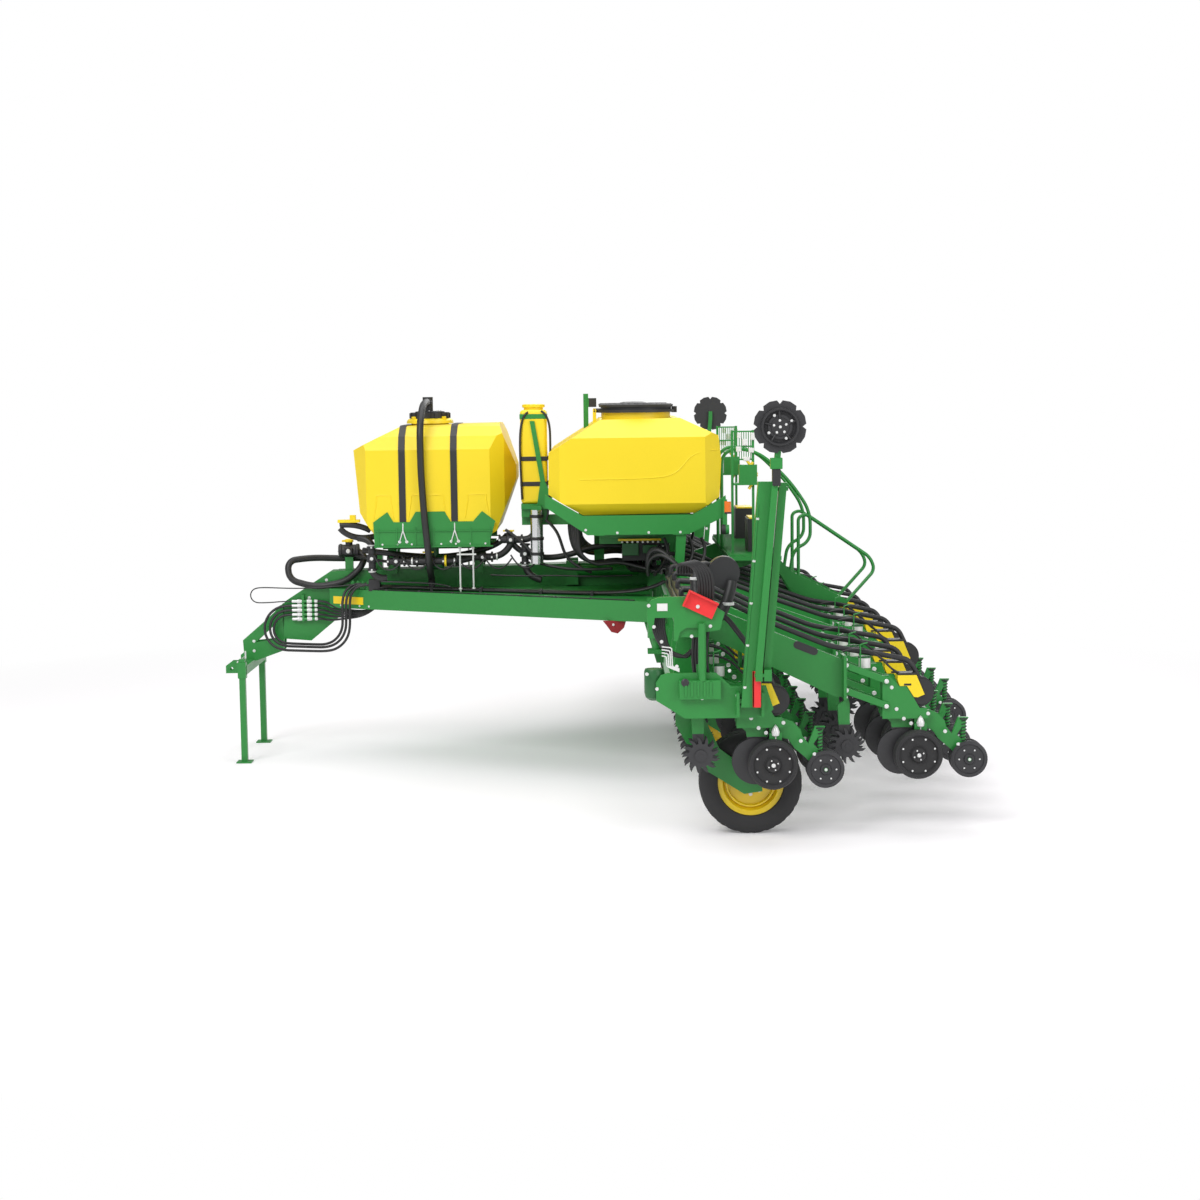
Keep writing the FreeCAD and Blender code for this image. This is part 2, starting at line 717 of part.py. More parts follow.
def wing_toolbar():
    """Build the left wing's toolbar with its hinge eye, end plates, wheel arm and beams."""
    pieces = bar_pair("wing_bar", "-wing_tip", "-(centre_half + wing_gap)")
    for n, row in enumerate(REAR_LEFT):
        pieces.append(web(f"wing_web_{n}", f"({row}) * row_pitch"))
        pieces.append(rear_beam(f"wing_beam_{n}", row, "rear_wing_face"))
    pieces += wheel_arm("wing_wheel_arm", "-wing_wheel_y", -1)
    eye = rod(
        "wing_eye", "hinge_eye",
        ("hinge_x", "-(centre_half + wing_gap / 2)", "(bar_middle_z + top_bar_bottom) / 2 - 60"), "160", "Z")
    bore = rod(
        "wing_eye_bore", "hinge_pin + hub_clearance",
        ("hinge_x", "-(centre_half + wing_gap / 2)", "(bar_middle_z + top_bar_bottom) / 2 - 100"), "240", "Z")
    tongue = block(
        "wing_eye_plate", ("bar_size", "200", "100"),
        ("hinge_x + bar_size / 2", "-(centre_half + wing_gap / 2) - 150", "(bar_middle_z + top_bar_bottom) / 2 + 20"))
    root_web = web("wing_root_web", "-(centre_half + wing_gap) - 40", "60")
    pieces += [cut("wing_eye_cut", joined("wing_eye_all", [eye, tongue]), bore), root_web]
    pieces.append(rod(
        "wing_duct", "duct_radius", ("duct_x", "-wing_tip + 40", "duct_z"), "wing_tip - (centre_half + wing_gap) - 100"))
    fan_y = "-wing_tip + 340"
    pieces.append(rod("fan_house", "130", ("fan_x", f"{fan_y} - 60", "fan_z"), "120"))
    pieces.append(pipe("fan_duct", [
        ("fan_x", fan_y, "fan_z + 40"), ("fan_x - 110", fan_y, "fan_z - 60"),
        ("fan_x - 210", fan_y, "fan_z - 170"),
        ("top_bar_front + 130", fan_y, "top_bar_bottom + top_bar_height - 10"),
    ], "52"))
    hook = [
        ("hook_x", "hook_z - 200"), ("hook_x", "hook_z - 80"), ("hook_x + 35", "hook_z - 22"),
        ("hook_x + 100", "hook_z"), ("hook_x + 300", "hook_z"), ("hook_x + 566", "hook_z - 95"),
        ("hook_x + 619", "hook_z - 130"), ("hook_x + 580", "hook_z - 270"),
        ("hook_x + 472", "hook_z - 285"),
        ("hook_x + 430", "hook_z - 250"), ("hook_x + 310", "hook_z - 250"),
        ("hook_x + 262", "hook_z - 285"),
        ("hook_x + 240", "hook_z - 355"), ("hook_x + 213", "hook_z - 355"),
        ("hook_x + 213", "hook_z - 167"),
        ("hook_x + 60", "hook_z - 167"), ("hook_x + 50", "hook_z - 240"), ("hook_x + 24", "hook_z - 281"),
    ]
    plate_y = "-wing_tip - 12"
    pieces.append(pad("wing_hook_plate", hook, "25", (0, plate_y, 0)))
    lock = [
        ("hook_x + 279", "hook_z - 69"), ("hook_x + 337", "hook_z + 58"), ("hook_x + 570", "hook_z - 54"),
        ("hook_x + 514", "hook_z - 181"),
    ]
    pieces.append(pad("wing_lock", lock, "30", (0, "-wing_tip - 35", 0)))
    low = [
        ("low_x", "low_z - 75"), ("low_x + 40", "low_z - 15"), ("low_x + 90", "low_z"),
        ("low_x + 480", "low_z"),
        ("low_x + 600", "low_z - 110"), ("low_x + 880", "low_z - 110"), ("low_x + 940", "low_z - 300"),
        ("low_x + 860", "low_z - 368"), ("low_x + 230", "low_z - 368"), ("low_x", "low_z - 220"),
    ]
    pieces.append(pad("wing_low_plate", low, "25", (0, plate_y, 0)))
    pieces.append(block(
        "wing_box", ("330", "60", "150"), ("low_x + 350", "-wing_tip - 50", "low_z - 130")))
    pieces.append(rod(
        "wing_strut", "32", ("low_x + 370", "-wing_tip - 55", "low_z - 60"), "hook_z - low_z - 150", "Z"))
    pieces.append(block(
        "cylinder_bracket", ("22", "200", "190"),
        ("cylinder_x - 49", "-cylinder_base_y - 70", "cylinder_base_z + 70")))
    pieces.append(rod(
        "cylinder_base_pin", "marker_link_pin", ("cylinder_x - 55", "-cylinder_base_y", "cylinder_base_z"),
        "90", "X"))
    for n, x in enumerate(("marker_x - marker_width / 2 - 24", "marker_x + marker_width / 2 + 24")):
        pieces.append(block(
            f"marker_cheek_{n}", ("24", "marker_y - wing_tip + 20", "190"),
            (x, "-(marker_y + wing_tip + 40) / 2", "marker_base_z - 25")))
    pieces.append(rod(
        "marker_base_pin", "marker_pin", ("marker_x - marker_width / 2 - 25", "-marker_y", "marker_base_z"),
        "marker_width + 50", "X"))
    keep("wing_toolbar_left", joined("wing_toolbar_left_all", pieces))
    keep("wing_toolbar_right", mirrored("wing_toolbar_right_all", NODES[-1]))


# Wheels

def tyre_master():
    """Turn one tyre."""
    outline = [
        ("rim_radius", "-tyre_width / 2 + 30"), ("rim_radius + 60", "-tyre_width / 2"),
        ("tyre_radius - 50", "-tyre_width / 2"), ("tyre_radius - 15", "-tyre_width / 2 + 20"),
        ("tyre_radius", "-tyre_width / 2 + 60"), ("tyre_radius", "tyre_width / 2 - 60"),
        ("tyre_radius - 15", "tyre_width / 2 - 20"), ("tyre_radius - 50", "tyre_width / 2"),
        ("rim_radius + 60", "tyre_width / 2"), ("rim_radius", "tyre_width / 2 - 30"),
    ]
    return turned("tyre", outline)


def rim_master(side):
    """Turn one rim whose dish faces one side."""
    well = "rim_radius - seat_gap"
    outline = [
        ("axle_radius + hub_clearance", f"{side} * 10"), ("axle_radius + hub_clearance", f"{side} * 90"),
        ("75", f"{side} * 90"), ("85", f"{side} * 40"), ("rim_radius - 60", f"{side} * 40"),
        ("rim_radius - 40", f"{side} * (tyre_width / 2 - 34)"), (well, f"{side} * (tyre_width / 2 - 30)"),
        (well, f"{-side} * (tyre_width / 2 - 30)"), ("rim_radius - 40", f"{-side} * (tyre_width / 2 - 34)"),
        ("rim_radius - 60", f"{side} * 10"),
    ]
    return turned(f"rim_{side + 1}", outline)


def wheels():
    """Place the carrying wheels: one below each wing, two on each side of the centre."""
    tyre = tyre_master()
    for name, ys, side in (
            ("wing_left", ["-wing_wheel_y"], -1), ("wing_right", ["wing_wheel_y"], 1),
            ("centre_left", ["-1.5 * row_pitch", "-0.5 * row_pitch"], -1),
            ("centre_right", ["0.5 * row_pitch", "1.5 * row_pitch"], 1)):
        places = [("wheel_x", y, "tyre_radius") for y in ys]
        keep(f"tyre_{name}", spread(f"tyres_{name}", tyre, places))
        if name.startswith("wing"):
            rim = rim_master(side)
            rims = {side: rim} if name == "wing_left" else rims | {side: rim}
        keep(f"rim_{name}", spread(f"rims_{name}", rims[side], places))


# Tongue, hitch bar and stand legs

COUPLERS = 5
HITCH_HOSE_RADIUS = 13
CABLE_RADIUS = 6
HOSE_ROUTES = [
    [
        (-2950.3, -175, 1525), (-3056, -175, 1525), (-3152, -180, 1478), (-3216, -196, 1394),
        (-3234, -218, 1290), (-3201, -247, 1190), (-3124, -280, 1118), (-3023, -316, 1089),
        (-2917, -352, 1089), (-2811, -386, 1089), (-2704, -418, 1089), (-2598, -445, 1089),
        (-2494, -465, 1104), (-2405, -476, 1161), (-2347, -478, 1249), (-2330, -478, 1353),
        (-2330, -471, 1459), (-2330, -459, 1566), (-2316, -447, 1670), (-2240, -442, 1752),
        (-2135.3, -442, 1752),
    ],
    [
        (-2950.3, -175, 1480), (-3052, -175, 1480), (-3138, -182, 1421), (-3181, -198, 1329),
        (-3167, -223, 1229), (-3100, -254, 1153), (-3003, -290, 1126), (-2900, -327, 1126),
        (-2798, -364, 1126), (-2695, -399, 1126), (-2593, -429, 1126), (-2494, -453, 1152),
        (-2416, -469, 1217), (-2373, -474, 1309), (-2367, -474, 1412), (-2367, -464, 1514),
        (-2367, -439, 1617), (-2328, -414, 1709), (-2238, -401, 1755), (-2135.3, -401, 1755),
    ],
    [
        (-2950.3, -175, 1435), (-3041, -175, 1435), (-3116, -180, 1381), (-3146, -195, 1297),
        (-3121, -217, 1212), (-3049, -244, 1158), (-2959, -276, 1151), (-2868, -310, 1151),
        (-2777, -345, 1151), (-2686, -378, 1151), (-2595, -408, 1153), (-2510, -434, 1183),
        (-2444, -453, 1245), (-2408, -464, 1328), (-2404, -466, 1419), (-2404, -465, 1510),
        (-2404, -445, 1601), (-2383, -409, 1688), (-2316, -375, 1746), (-2226, -360, 1758),
        (-2135.3, -360, 1758),
    ],
]
CABLE_ROUTE = [
    (-2950.3, -175, 1570), (-3050, -175, 1570), (-3150, -183, 1563), (-3235, -195, 1561),
    (-3316, -207, 1564), (-3360, -216, 1608), (-3360, -226, 1670), (-3316, -236, 1714),
    (-3230, -246, 1722), (-3110, -258, 1718), (-2960, -272, 1712), (-2800, -288, 1712),
    (-2640, -304, 1718), (-2480, -318, 1730), (-2330, -327, 1744), (-2220, -329, 1750),
    (-2135.3, -329, 1750),
]


def tongue():
    """Build the tongue: nose, central box beam, two spreading rails and the deck between them."""
    nose = [
        ("tongue_front", "1186"), ("tongue_front + 284", "1162"), ("beam_front + 150", "rail_bottom"),
        ("beam_front + 150", "beam_front_top - 5"), ("beam_front - 60", "beam_front_top - 5"),
        ("tongue_front + 20", "1563"),
    ]
    beam = [
        ("beam_front", "rail_bottom + rail_height - 20"),
        ("top_bar_front", "rail_bottom + rail_height - 20"),
        ("top_bar_front", "beam_back_top"), ("beam_front", "beam_front_top"),
    ]
    pieces = [pad("nose", nose, "2 * beam_half"), pad("beam", beam, "2 * beam_half")]
    for side in (-1, 1):
        rail = [
            ("rail_front", f"{side} * (beam_half - 20)"),
            ("rail_front", f"{side} * (beam_half + rail_thick)"),
            ("rail_back", f"{side} * rail_spread"), ("rail_back + rail_thick", f"{side} * rail_spread"),
            ("rail_back + rail_thick", f"{side} * (rail_spread - rail_thick)"),
        ]
        level = "rail_bottom + rail_height / 2"
        pieces.append(pad(f"rail_{side + 1}", rail, "rail_height", (0, 0, level), "XY_Plane"))
        foot = [
            ("rail_back - 60", "rail_bottom + 20"), ("rail_back - 60", "top_bar_bottom"),
            ("bar_back - bar_size", "top_bar_bottom"), ("bar_back - bar_size", "bar_middle_z - 60"),
            ("bar_back - bar_size - 60", "bar_middle_z - 60"),
        ]
        pieces.append(pad(
            f"rail_foot_{side + 1}", foot, "rail_thick", (0, f"{side} * (rail_spread - 100)", 0)))
    deck = [
        ("beam_front + 60", "-beam_half - 20"), ("beam_front + 60", "beam_half + 20"),
        ("rail_back + 20", "rail_spread - 60"), ("rail_back + 20", "-rail_spread + 60"),
    ]
    pieces.append(pad(
        "deck", deck, "deck_thick", (0, 0, "rail_bottom + rail_height - deck_thick"), "XY_Plane"))
    for side in (-1, 1):
        level_y = f"{side} * (beam_half + level_radius + 20)"
        pieces.append(block(
            f"level_bracket_{side + 1}", ("120", "level_radius + 60", "240"),
            ("level_x - 50", f"{side} * (beam_half + level_radius / 2 + 30)", "level_z - 20")))
        pieces.append(rod(
            f"level_barrel_{side + 1}", "level_radius", ("level_x", level_y, "level_z"), "620", "X"))
        pieces.append(rod(
            f"level_rod_{side + 1}", "22",
            ("level_x + 600", level_y, "level_z"), "top_bar_front - level_x - 600", "X"))
        pieces.append(block(
            f"hose_block_{side + 1}", ("110", "150", "110"),
            ("block_x", f"{side} * block_y", "rail_bottom + rail_height + 50")))
    pieces.append(block(
        "coupler_plate", ("24", "70", "270"), ("coupler_x + 110", "-beam_half - 20", "coupler_z - 70")))
    foot = "beam_front_top - 10"
    pieces.append(block(
        "valve_post", ("80", "60", f"valve_z - valve_radius - seat_gap - ({foot})"),
        ("valve_x", "valve_y", f"(valve_z - valve_radius - seat_gap + ({foot})) / 2")))
    pieces.append(block(
        "loop_port", ("110", "110", f"port_z + 55 - ({foot})"),
        ("port_x + 55", "port_y", f"(port_z + 55 + {foot}) / 2")))
    for n in range(COUPLERS):
        pieces.append(rod(
            f"coupler_{n}", "15", ("coupler_x", "coupler_y", f"coupler_z - {n} * coupler_pitch"), "230", "X"))
    keep("tongue", joined("tongue_all", pieces))


def hitch_hoses():
    """Lay the hoses and the cable that hang from the couplers on the nose back up to the rail."""
    for n, route in enumerate(HOSE_ROUTES):
        keep(f"hitch_hose_{n}", laid_hose(f"hitch_hose_tube_{n}", route, HITCH_HOSE_RADIUS))
    keep("hitch_cable", laid_hose("hitch_cable_tube", CABLE_ROUTE, CABLE_RADIUS))


def hitch_bar():
    """Build the cross bar with its lift arms, leg sleeves and the triangular casting to the nose."""
    bore = "leg_size + 2 * leg_clearance"
    pieces = [block("hitch_tube", ("90", "2 * leg_y", "90"), ("hitch_x", "0", "hitch_z"))]
    ear = [
        ("hitch_front", "hitch_z - 45"), ("hitch_x", "hitch_z - 45"), ("hitch_x + 20", "hitch_z + 70"),
        ("hitch_front + 60", "hitch_z + 75"), ("hitch_front", "hitch_z + 30"),
    ]
    for side in (-1, 1):
        for n, shift in enumerate(("-45", "45")):
            lug = pad(
                f"hitch_ear_{side + 1}_{n}", ear, "22", (0, f"{side} * (hitch_half - 120) + ({shift})", 0),
                circles=[("hitch_front + 55", "hitch_z", "18.5")])
            pieces.append(lug)
    cast = [
        ("hitch_x - 60", "hitch_z + 30"), ("hitch_x + 60", "hitch_z + 30"), ("tongue_front - 6", "1060"),
        ("tongue_front", "1200"), ("tongue_front", "1545"), ("tongue_front - 150", "1400"),
        ("tongue_front - 420", "1170"),
    ]
    window = [("hitch_x + 60", "1150"), ("tongue_front - 90", "1170"), ("tongue_front - 90", "1330")]
    for side in (-1, 1):
        pieces.append(pad(f"hitch_cast_{side + 1}", cast, "40", (0, f"{side} * 85", 0), holes=[window]))
    pieces.append(block("hitch_cast_web", ("60", "200", "330"), ("tongue_front - 30", "0", "1340")))
    plate = [
        ("-leg_y + 60", "hitch_z - 55"), ("leg_y - 60", "hitch_z - 55"), ("leg_y - 60", "hitch_z + 55"),
        ("-leg_y + 60", "hitch_z + 55"),
    ]
    windows = [(f"{n} * plate_pitch", "hitch_z", "26") for n in (-5, -4, -3, -2, 2, 3, 4, 5)]
    pieces.append(pad("hitch_plate", plate, "12", ("hitch_x - 51", 0, 0), "YZ_Plane", circles=windows))
    body = joined("hitch_tubes", pieces)
    sleeves = []
    tools = []
    for side in (-1, 1):
        spot = ("hitch_x", f"{side} * leg_y", "hitch_z")
        wide = "leg_size + 2 * leg_clearance + 2 * sleeve_wall"
        sleeves.append(block(f"leg_sleeve_{side + 1}", (wide, wide, "160"), spot))
        tools.append(block(f"leg_bore_{side + 1}", (bore, bore, "400"), spot))
    whole = joined("hitch_and_sleeves", [body, *sleeves])
    keep("hitch_bar", cut("hitch_bar_all", whole, gathered("leg_bores", tools)))
    for side, name in ((-1, "left"), (1, "right")):
        spot_y = f"{side} * leg_y"
        post = block(
            f"leg_post_{name}", ("leg_size", "leg_size", "leg_top - foot_thick / 2"),
            ("hitch_x", spot_y, "(leg_top + foot_thick / 2) / 2"))
        foot = block(
            f"leg_foot_{name}", ("foot_size", "foot_size", "foot_thick"),
            ("hitch_x", spot_y, "foot_thick / 2"))
        keep(f"stand_leg_{name}", joined(f"leg_{name}", [post, foot]))


# Tanks and seed hoppers

def faceted(name, side_view, plan_view, end_view, size, middle, rounding=None):
    """Shape a moulded tank as what its three outlines have in common."""
    length, width, height = size
    side = pad(f"{name}_side", side_view, width, (0, middle[1], 0), rounding=rounding)
    plan = pad(f"{name}_plan", plan_view, height, (0, 0, middle[2]), "XY_Plane")
    end = pad(f"{name}_end", end_view, length, (middle[0], 0, 0), "YZ_Plane")
    item = doc.addObject("Part::MultiCommon", name)
    item.Shapes = [side, plan, end]
    return item


def front_tank():
    """Build the front liquid tank with its neck, and its lid with the fill valve."""
    side_view = [
        ("tank_front", "tank_top - 250"), ("tank_front + 470", "tank_top - 20"),
        ("tank_back - 160", "tank_top"),
        ("tank_back", "tank_top - 420"), ("tank_back", "tank_top - 560"),
        ("tank_back - 190", "tank_bottom + 60"),
        ("tank_back - 300", "tank_bottom"), ("tank_front + 230", "tank_bottom"),
        ("tank_front + 60", "tank_bottom + 250"),
    ]
    plan_view = []
    end_view = [("tank_half - 60", "tank_bottom - 5"), ("-tank_half + 60", "tank_bottom - 5")]
    for side in (-1, 1):
        corners = [
            ("tank_front - 5", f"{side} * (tank_half - 190)"), ("tank_front + 137", f"{side} * tank_half"),
            ("tank_back - 247", f"{side} * tank_half"), ("tank_back - 110", f"{side} * (tank_half - 120)"),
            ("tank_back + 5", f"{side} * (tank_half - 400)"),
        ]
        plan_view += corners[::-side]
        half = [
            (f"{side} * tank_half", "tank_bottom + 90"), (f"{side} * tank_half", "tank_top - 250"),
            (f"{side} * (tank_half - 60)", "tank_top - 120"),
            (f"{side} * (tank_half - 240)", "tank_top - 28"),
            (f"{side} * (tank_half - 430)", "tank_top + 5"),
        ]
        end_view += half[::-side]
    hull = faceted(
        "tank_hull", side_view, plan_view, end_view,
        ("tank_back - tank_front + 20", "2 * tank_half", "tank_top - tank_bottom + 20"),
        ("(tank_front + tank_back) / 2", "0", "(tank_top + tank_bottom) / 2"))
    neck = rod("tank_neck", "tank_neck", ("tank_neck_x", "0", "tank_top - 60"), "110", "Z")
    keep("front_tank", joined("front_tank_all", [hull, neck]))
    cap = rod("tank_cap", "tank_neck + 8", ("tank_neck_x", "0", "tank_top + 50 + seat_gap"), "60", "Z")
    valve_top = "tank_top + 265"
    valve_foot = "tank_top + 50 + 60 - 5"
    valve = rod(
        "tank_valve", "52", ("tank_neck_x - 20", "0", valve_foot), f"{valve_top} - ({valve_foot})", "Z")
    outlet = rod("tank_valve_outlet", "44", ("tank_neck_x - 20", "-70", "tank_top + 215"), "160")
    keep("tank_lid", joined("tank_lid_all", [cap, valve, outlet]))


def tank_cradle():
    """Build the cradle below the front tank, with its side plates, cross bars and posts."""
    pieces = []
    under = "tank_bottom - seat_gap"
    for n, x in enumerate(("tank_front + 330", "tank_front + 700", "tank_back - 400")):
        pieces.append(block(
            f"cradle_cross_{n}", ("90", "2 * (tank_half + seat_gap + 12)", "60"),
            (x, "0", f"{under} - 60")))
        pieces.append(block(
            f"cradle_seat_{n}", ("90", "2 * tank_half - 300", "40"), (x, "0", f"{under} - 20")))
    for side in (-1, 1):
        plate = [
            ("tank_front + 210", "tank_bottom - 90"), ("tank_back - 270", "tank_bottom - 90"),
            ("tank_back - 200", "tank_bottom + 160"), ("tank_back - 330", "tank_bottom + 260"),
            ("tank_back - 420", "tank_bottom + 160"), ("tank_back - 640", "tank_bottom + 160"),
            ("tank_back - 700", "tank_bottom + 260"), ("tank_front + 620", "tank_bottom + 260"),
            ("tank_front + 560", "tank_bottom + 160"), ("tank_front + 400", "tank_bottom + 160"),
            ("tank_front + 340", "tank_bottom + 260"), ("tank_front + 200", "tank_bottom + 160"),
        ]
        pieces.append(pad(
            f"cradle_side_{side + 1}", plate, "12", (0, f"{side} * (tank_half + seat_gap + 6)", 0)))
    for n, x in enumerate(("tank_front + 330", "tank_back - 400")):
        foot = "beam_front_top + (beam_back_top - beam_front_top) / 2 - 60"
        for side in (-1, 1):
            pieces.append(block(
                f"cradle_post_{n}_{side + 1}", ("90", "70", f"{under} - 80 - ({foot})"),
                (x, f"{side} * (beam_half + 35)", f"(({under}) - 80 + ({foot})) / 2")))
    for side in (-1, 1):
        pieces.append(block(
            f"cradle_rail_{side + 1}", ("tank_back - tank_front - 470", "70", "70"),
            ("(tank_front + tank_back) / 2", f"{side} * (beam_half + 35)", f"{under} - 110")))
    keep("tank_cradle", joined("tank_cradle_all", pieces))


def tank_plumbing():
    """Build the black plumbing: fill hose, suction loop with its valve, and the delivery hose."""
    side = "-tank_half - 75"
    fill = pipe("fill_hose_tube", [
        ("tank_neck_x - 20", "-70 - seat_gap", "tank_top + 215"),
        ("tank_neck_x - 20", "-300", "tank_top + 215"),
        ("tank_neck_x - 30", "-560", "tank_top + 175"), ("tank_neck_x - 40", side, "tank_top - 20"),
        ("tank_neck_x - 40", side, "tank_top - 420"), ("tank_neck_x - 15", side, "tank_top - 900"),
        ("tank_neck_x + 20", side, "tank_bottom - 150"),
        ("tank_neck_x + 20", "-tank_half + 80", "tank_bottom - 330"),
        ("tank_neck_x + 20", "-beam_half - 330", "tank_bottom - 420"),
        ("tank_neck_x + 20", "-beam_half - 330", "rail_bottom + rail_height - deck_thick / 2 + seat_gap"),
    ], "34")
    loop = pipe("loop_hose", [
        ("valve_x + 80", "valve_y", "valve_z"), ("valve_x + 170", "valve_y - 40", "valve_z - 60"),
        ("valve_x + 120", "loop_y", "beam_front_top + 20"),
        ("valve_x - 40", "loop_y", "beam_front_top - 110"),
        ("valve_x - 330", "loop_y", "beam_front_top - 160"),
        ("valve_x - 600", "loop_y", "beam_front_top - 80"),
        ("valve_x - 620", "-beam_half - 10", "beam_front_top + 110"),
        ("valve_x - 380", "-20", "beam_front_top + 130"),
        ("valve_x - 120", "port_y", "port_z"), ("port_x - seat_gap", "port_y", "port_z"),
    ], "33")
    pieces = [
        rod("loop_valve", "valve_radius", ("valve_x - 105", "valve_y", "valve_z"), "210", "X"),
        rod("loop_valve_top", "36", ("valve_x", "valve_y", "valve_z"), "100", "Z"),
    ]
    keep("tank_plumbing", gathered("tank_plumbing_all", [fill, joined("loop_valve_all", [loop, *pieces])]))


def slim_column():
    """Build the slim tank in front of the hoppers and the bright filter cylinder below it."""
    tall = "slim_top - slim_bottom"
    hull = block(
        "slim_hull", ("2 * slim_half", "2 * slim_half + 60", tall),
        ("slim_x", "slim_y", f"slim_bottom + ({tall}) / 2"))
    doc.recompute()
    soft = doc.addObject("Part::Fillet", "slim_soft")
    soft.Base = hull
    soft.Edges = [(n + 1, 35.0, 35.0) for n in range(len(hull.Shape.Edges))]
    cap = rod("slim_cap", "95", ("slim_x", "slim_y", "slim_top - 5"), "60", "Z")
    keep("slim_tank", joined("slim_tank_all", [soft, cap]))
    drum = rod(
        "filter_drum", "62", ("slim_x + 20", "slim_y - drum_shift", "drum_bottom"),
        "slim_bottom - 56 - seat_gap - drum_bottom", "Z")
    keep("filter_drum", drum)


def hopper_bins():
    """Build the two seed hoppers, one each side of the middle, with the lugs for their lids."""
    side_view = [
        ("hopper_front", "hopper_bottom + 200"), ("hopper_front + 5", "hopper_top - 320"),
        ("hopper_front + 500", "hopper_top - 10"), ("hopper_back - 385", "hopper_top"),
        ("hopper_back - 25", "hopper_top - 170"), ("hopper_back", "hopper_top - 400"),
        ("hopper_back - 20", "hopper_bottom + 160"), ("hopper_back - 260", "hopper_bottom + 10"),
        ("hopper_front + 330", "hopper_bottom"),
    ]
    bins = []
    for side in (-1, 1):
        inner = f"{side} * hopper_inner"
        outer = f"{side} * hopper_outer"
        plan_view = [
            ("hopper_front - 5", inner), ("hopper_front - 5", f"{outer} - {side} * 130"),
            ("hopper_front + 110", outer), ("hopper_back - 160", outer),
            ("hopper_back + 5", f"{outer} - {side} * 150"), ("hopper_back + 5", inner),
        ]
        end_view = [
            (f"{inner} + {side} * 60", "hopper_bottom - 5"), (inner, "hopper_bottom + 110"),
            (inner, "hopper_top - 150"), (f"{inner} + {side} * 120", "hopper_top + 5"),
            (f"{outer} - {side} * 300", "hopper_top + 5"), (outer, "hopper_top - 178"),
            (outer, "hopper_bottom + 110"), (f"{outer} - {side} * 110", "hopper_bottom - 5"),
        ]
        hull = faceted(
            f"hopper_hull_{side + 1}", side_view, plan_view[::-side], end_view[::-side],
            ("hopper_back - hopper_front + 20", "hopper_outer - hopper_inner",
            "hopper_top - hopper_bottom + 20"),
            ("(hopper_front + hopper_back) / 2", f"{side} * (hopper_inner + hopper_outer) / 2",
             "(hopper_top + hopper_bottom) / 2"))
        pieces = [hull, rod(
            f"hopper_neck_{side + 1}", "lid_radius - 45", ("lid_x", f"{side} * lid_y", "hopper_top - 60"),
            "neck_height + 60", "Z")]
        for n, shift in enumerate(("-58", "58")):
            pieces.append(block(
                f"lid_lug_{side + 1}_{n}", ("34", "24", "neck_height + 115"),
                ("lid_hinge_x", f"{side} * lid_y + ({shift})", "hopper_top + neck_height / 2 - 30")))
        bore = rod(
            f"lid_lug_bore_{side + 1}", "lid_pin + hub_clearance",
            ("lid_hinge_x", f"{side} * lid_y - 100", "lid_hinge_z"), "200")
        bins.append(cut(f"hopper_bored_{side + 1}", joined(f"hopper_{side + 1}", pieces), bore))
    keep("seed_hoppers", gathered("seed_hoppers_all", bins))


def hopper_lids():
    """Build the two hopper lids with their ribs, hinge arms and pins."""
    for side, name in ((-1, "left"), (1, "right")):
        level = "hopper_top + neck_height + seat_gap"
        middle = ("lid_x", f"{side} * lid_y")
        rim = rod(f"hopper_cap_{name}", "lid_radius", (*middle, level), "26", "Z")
        crown = rod(f"hopper_crown_{name}", "lid_radius - 40", (*middle, level), "lid_height", "Z")
        arm = block(
            f"lid_arm_{name}", ("80", "76", "28"),
            ("lid_hinge_x + 26", f"{side} * lid_y", "lid_hinge_z"))
        pin = rod(
            f"lid_pin_{name}", "lid_pin", ("lid_hinge_x", f"{side} * lid_y - 74", "lid_hinge_z"), "148")
        keep(f"hopper_lid_{name}", joined(f"hopper_lid_{name}_all", [rim, crown, arm, pin]))


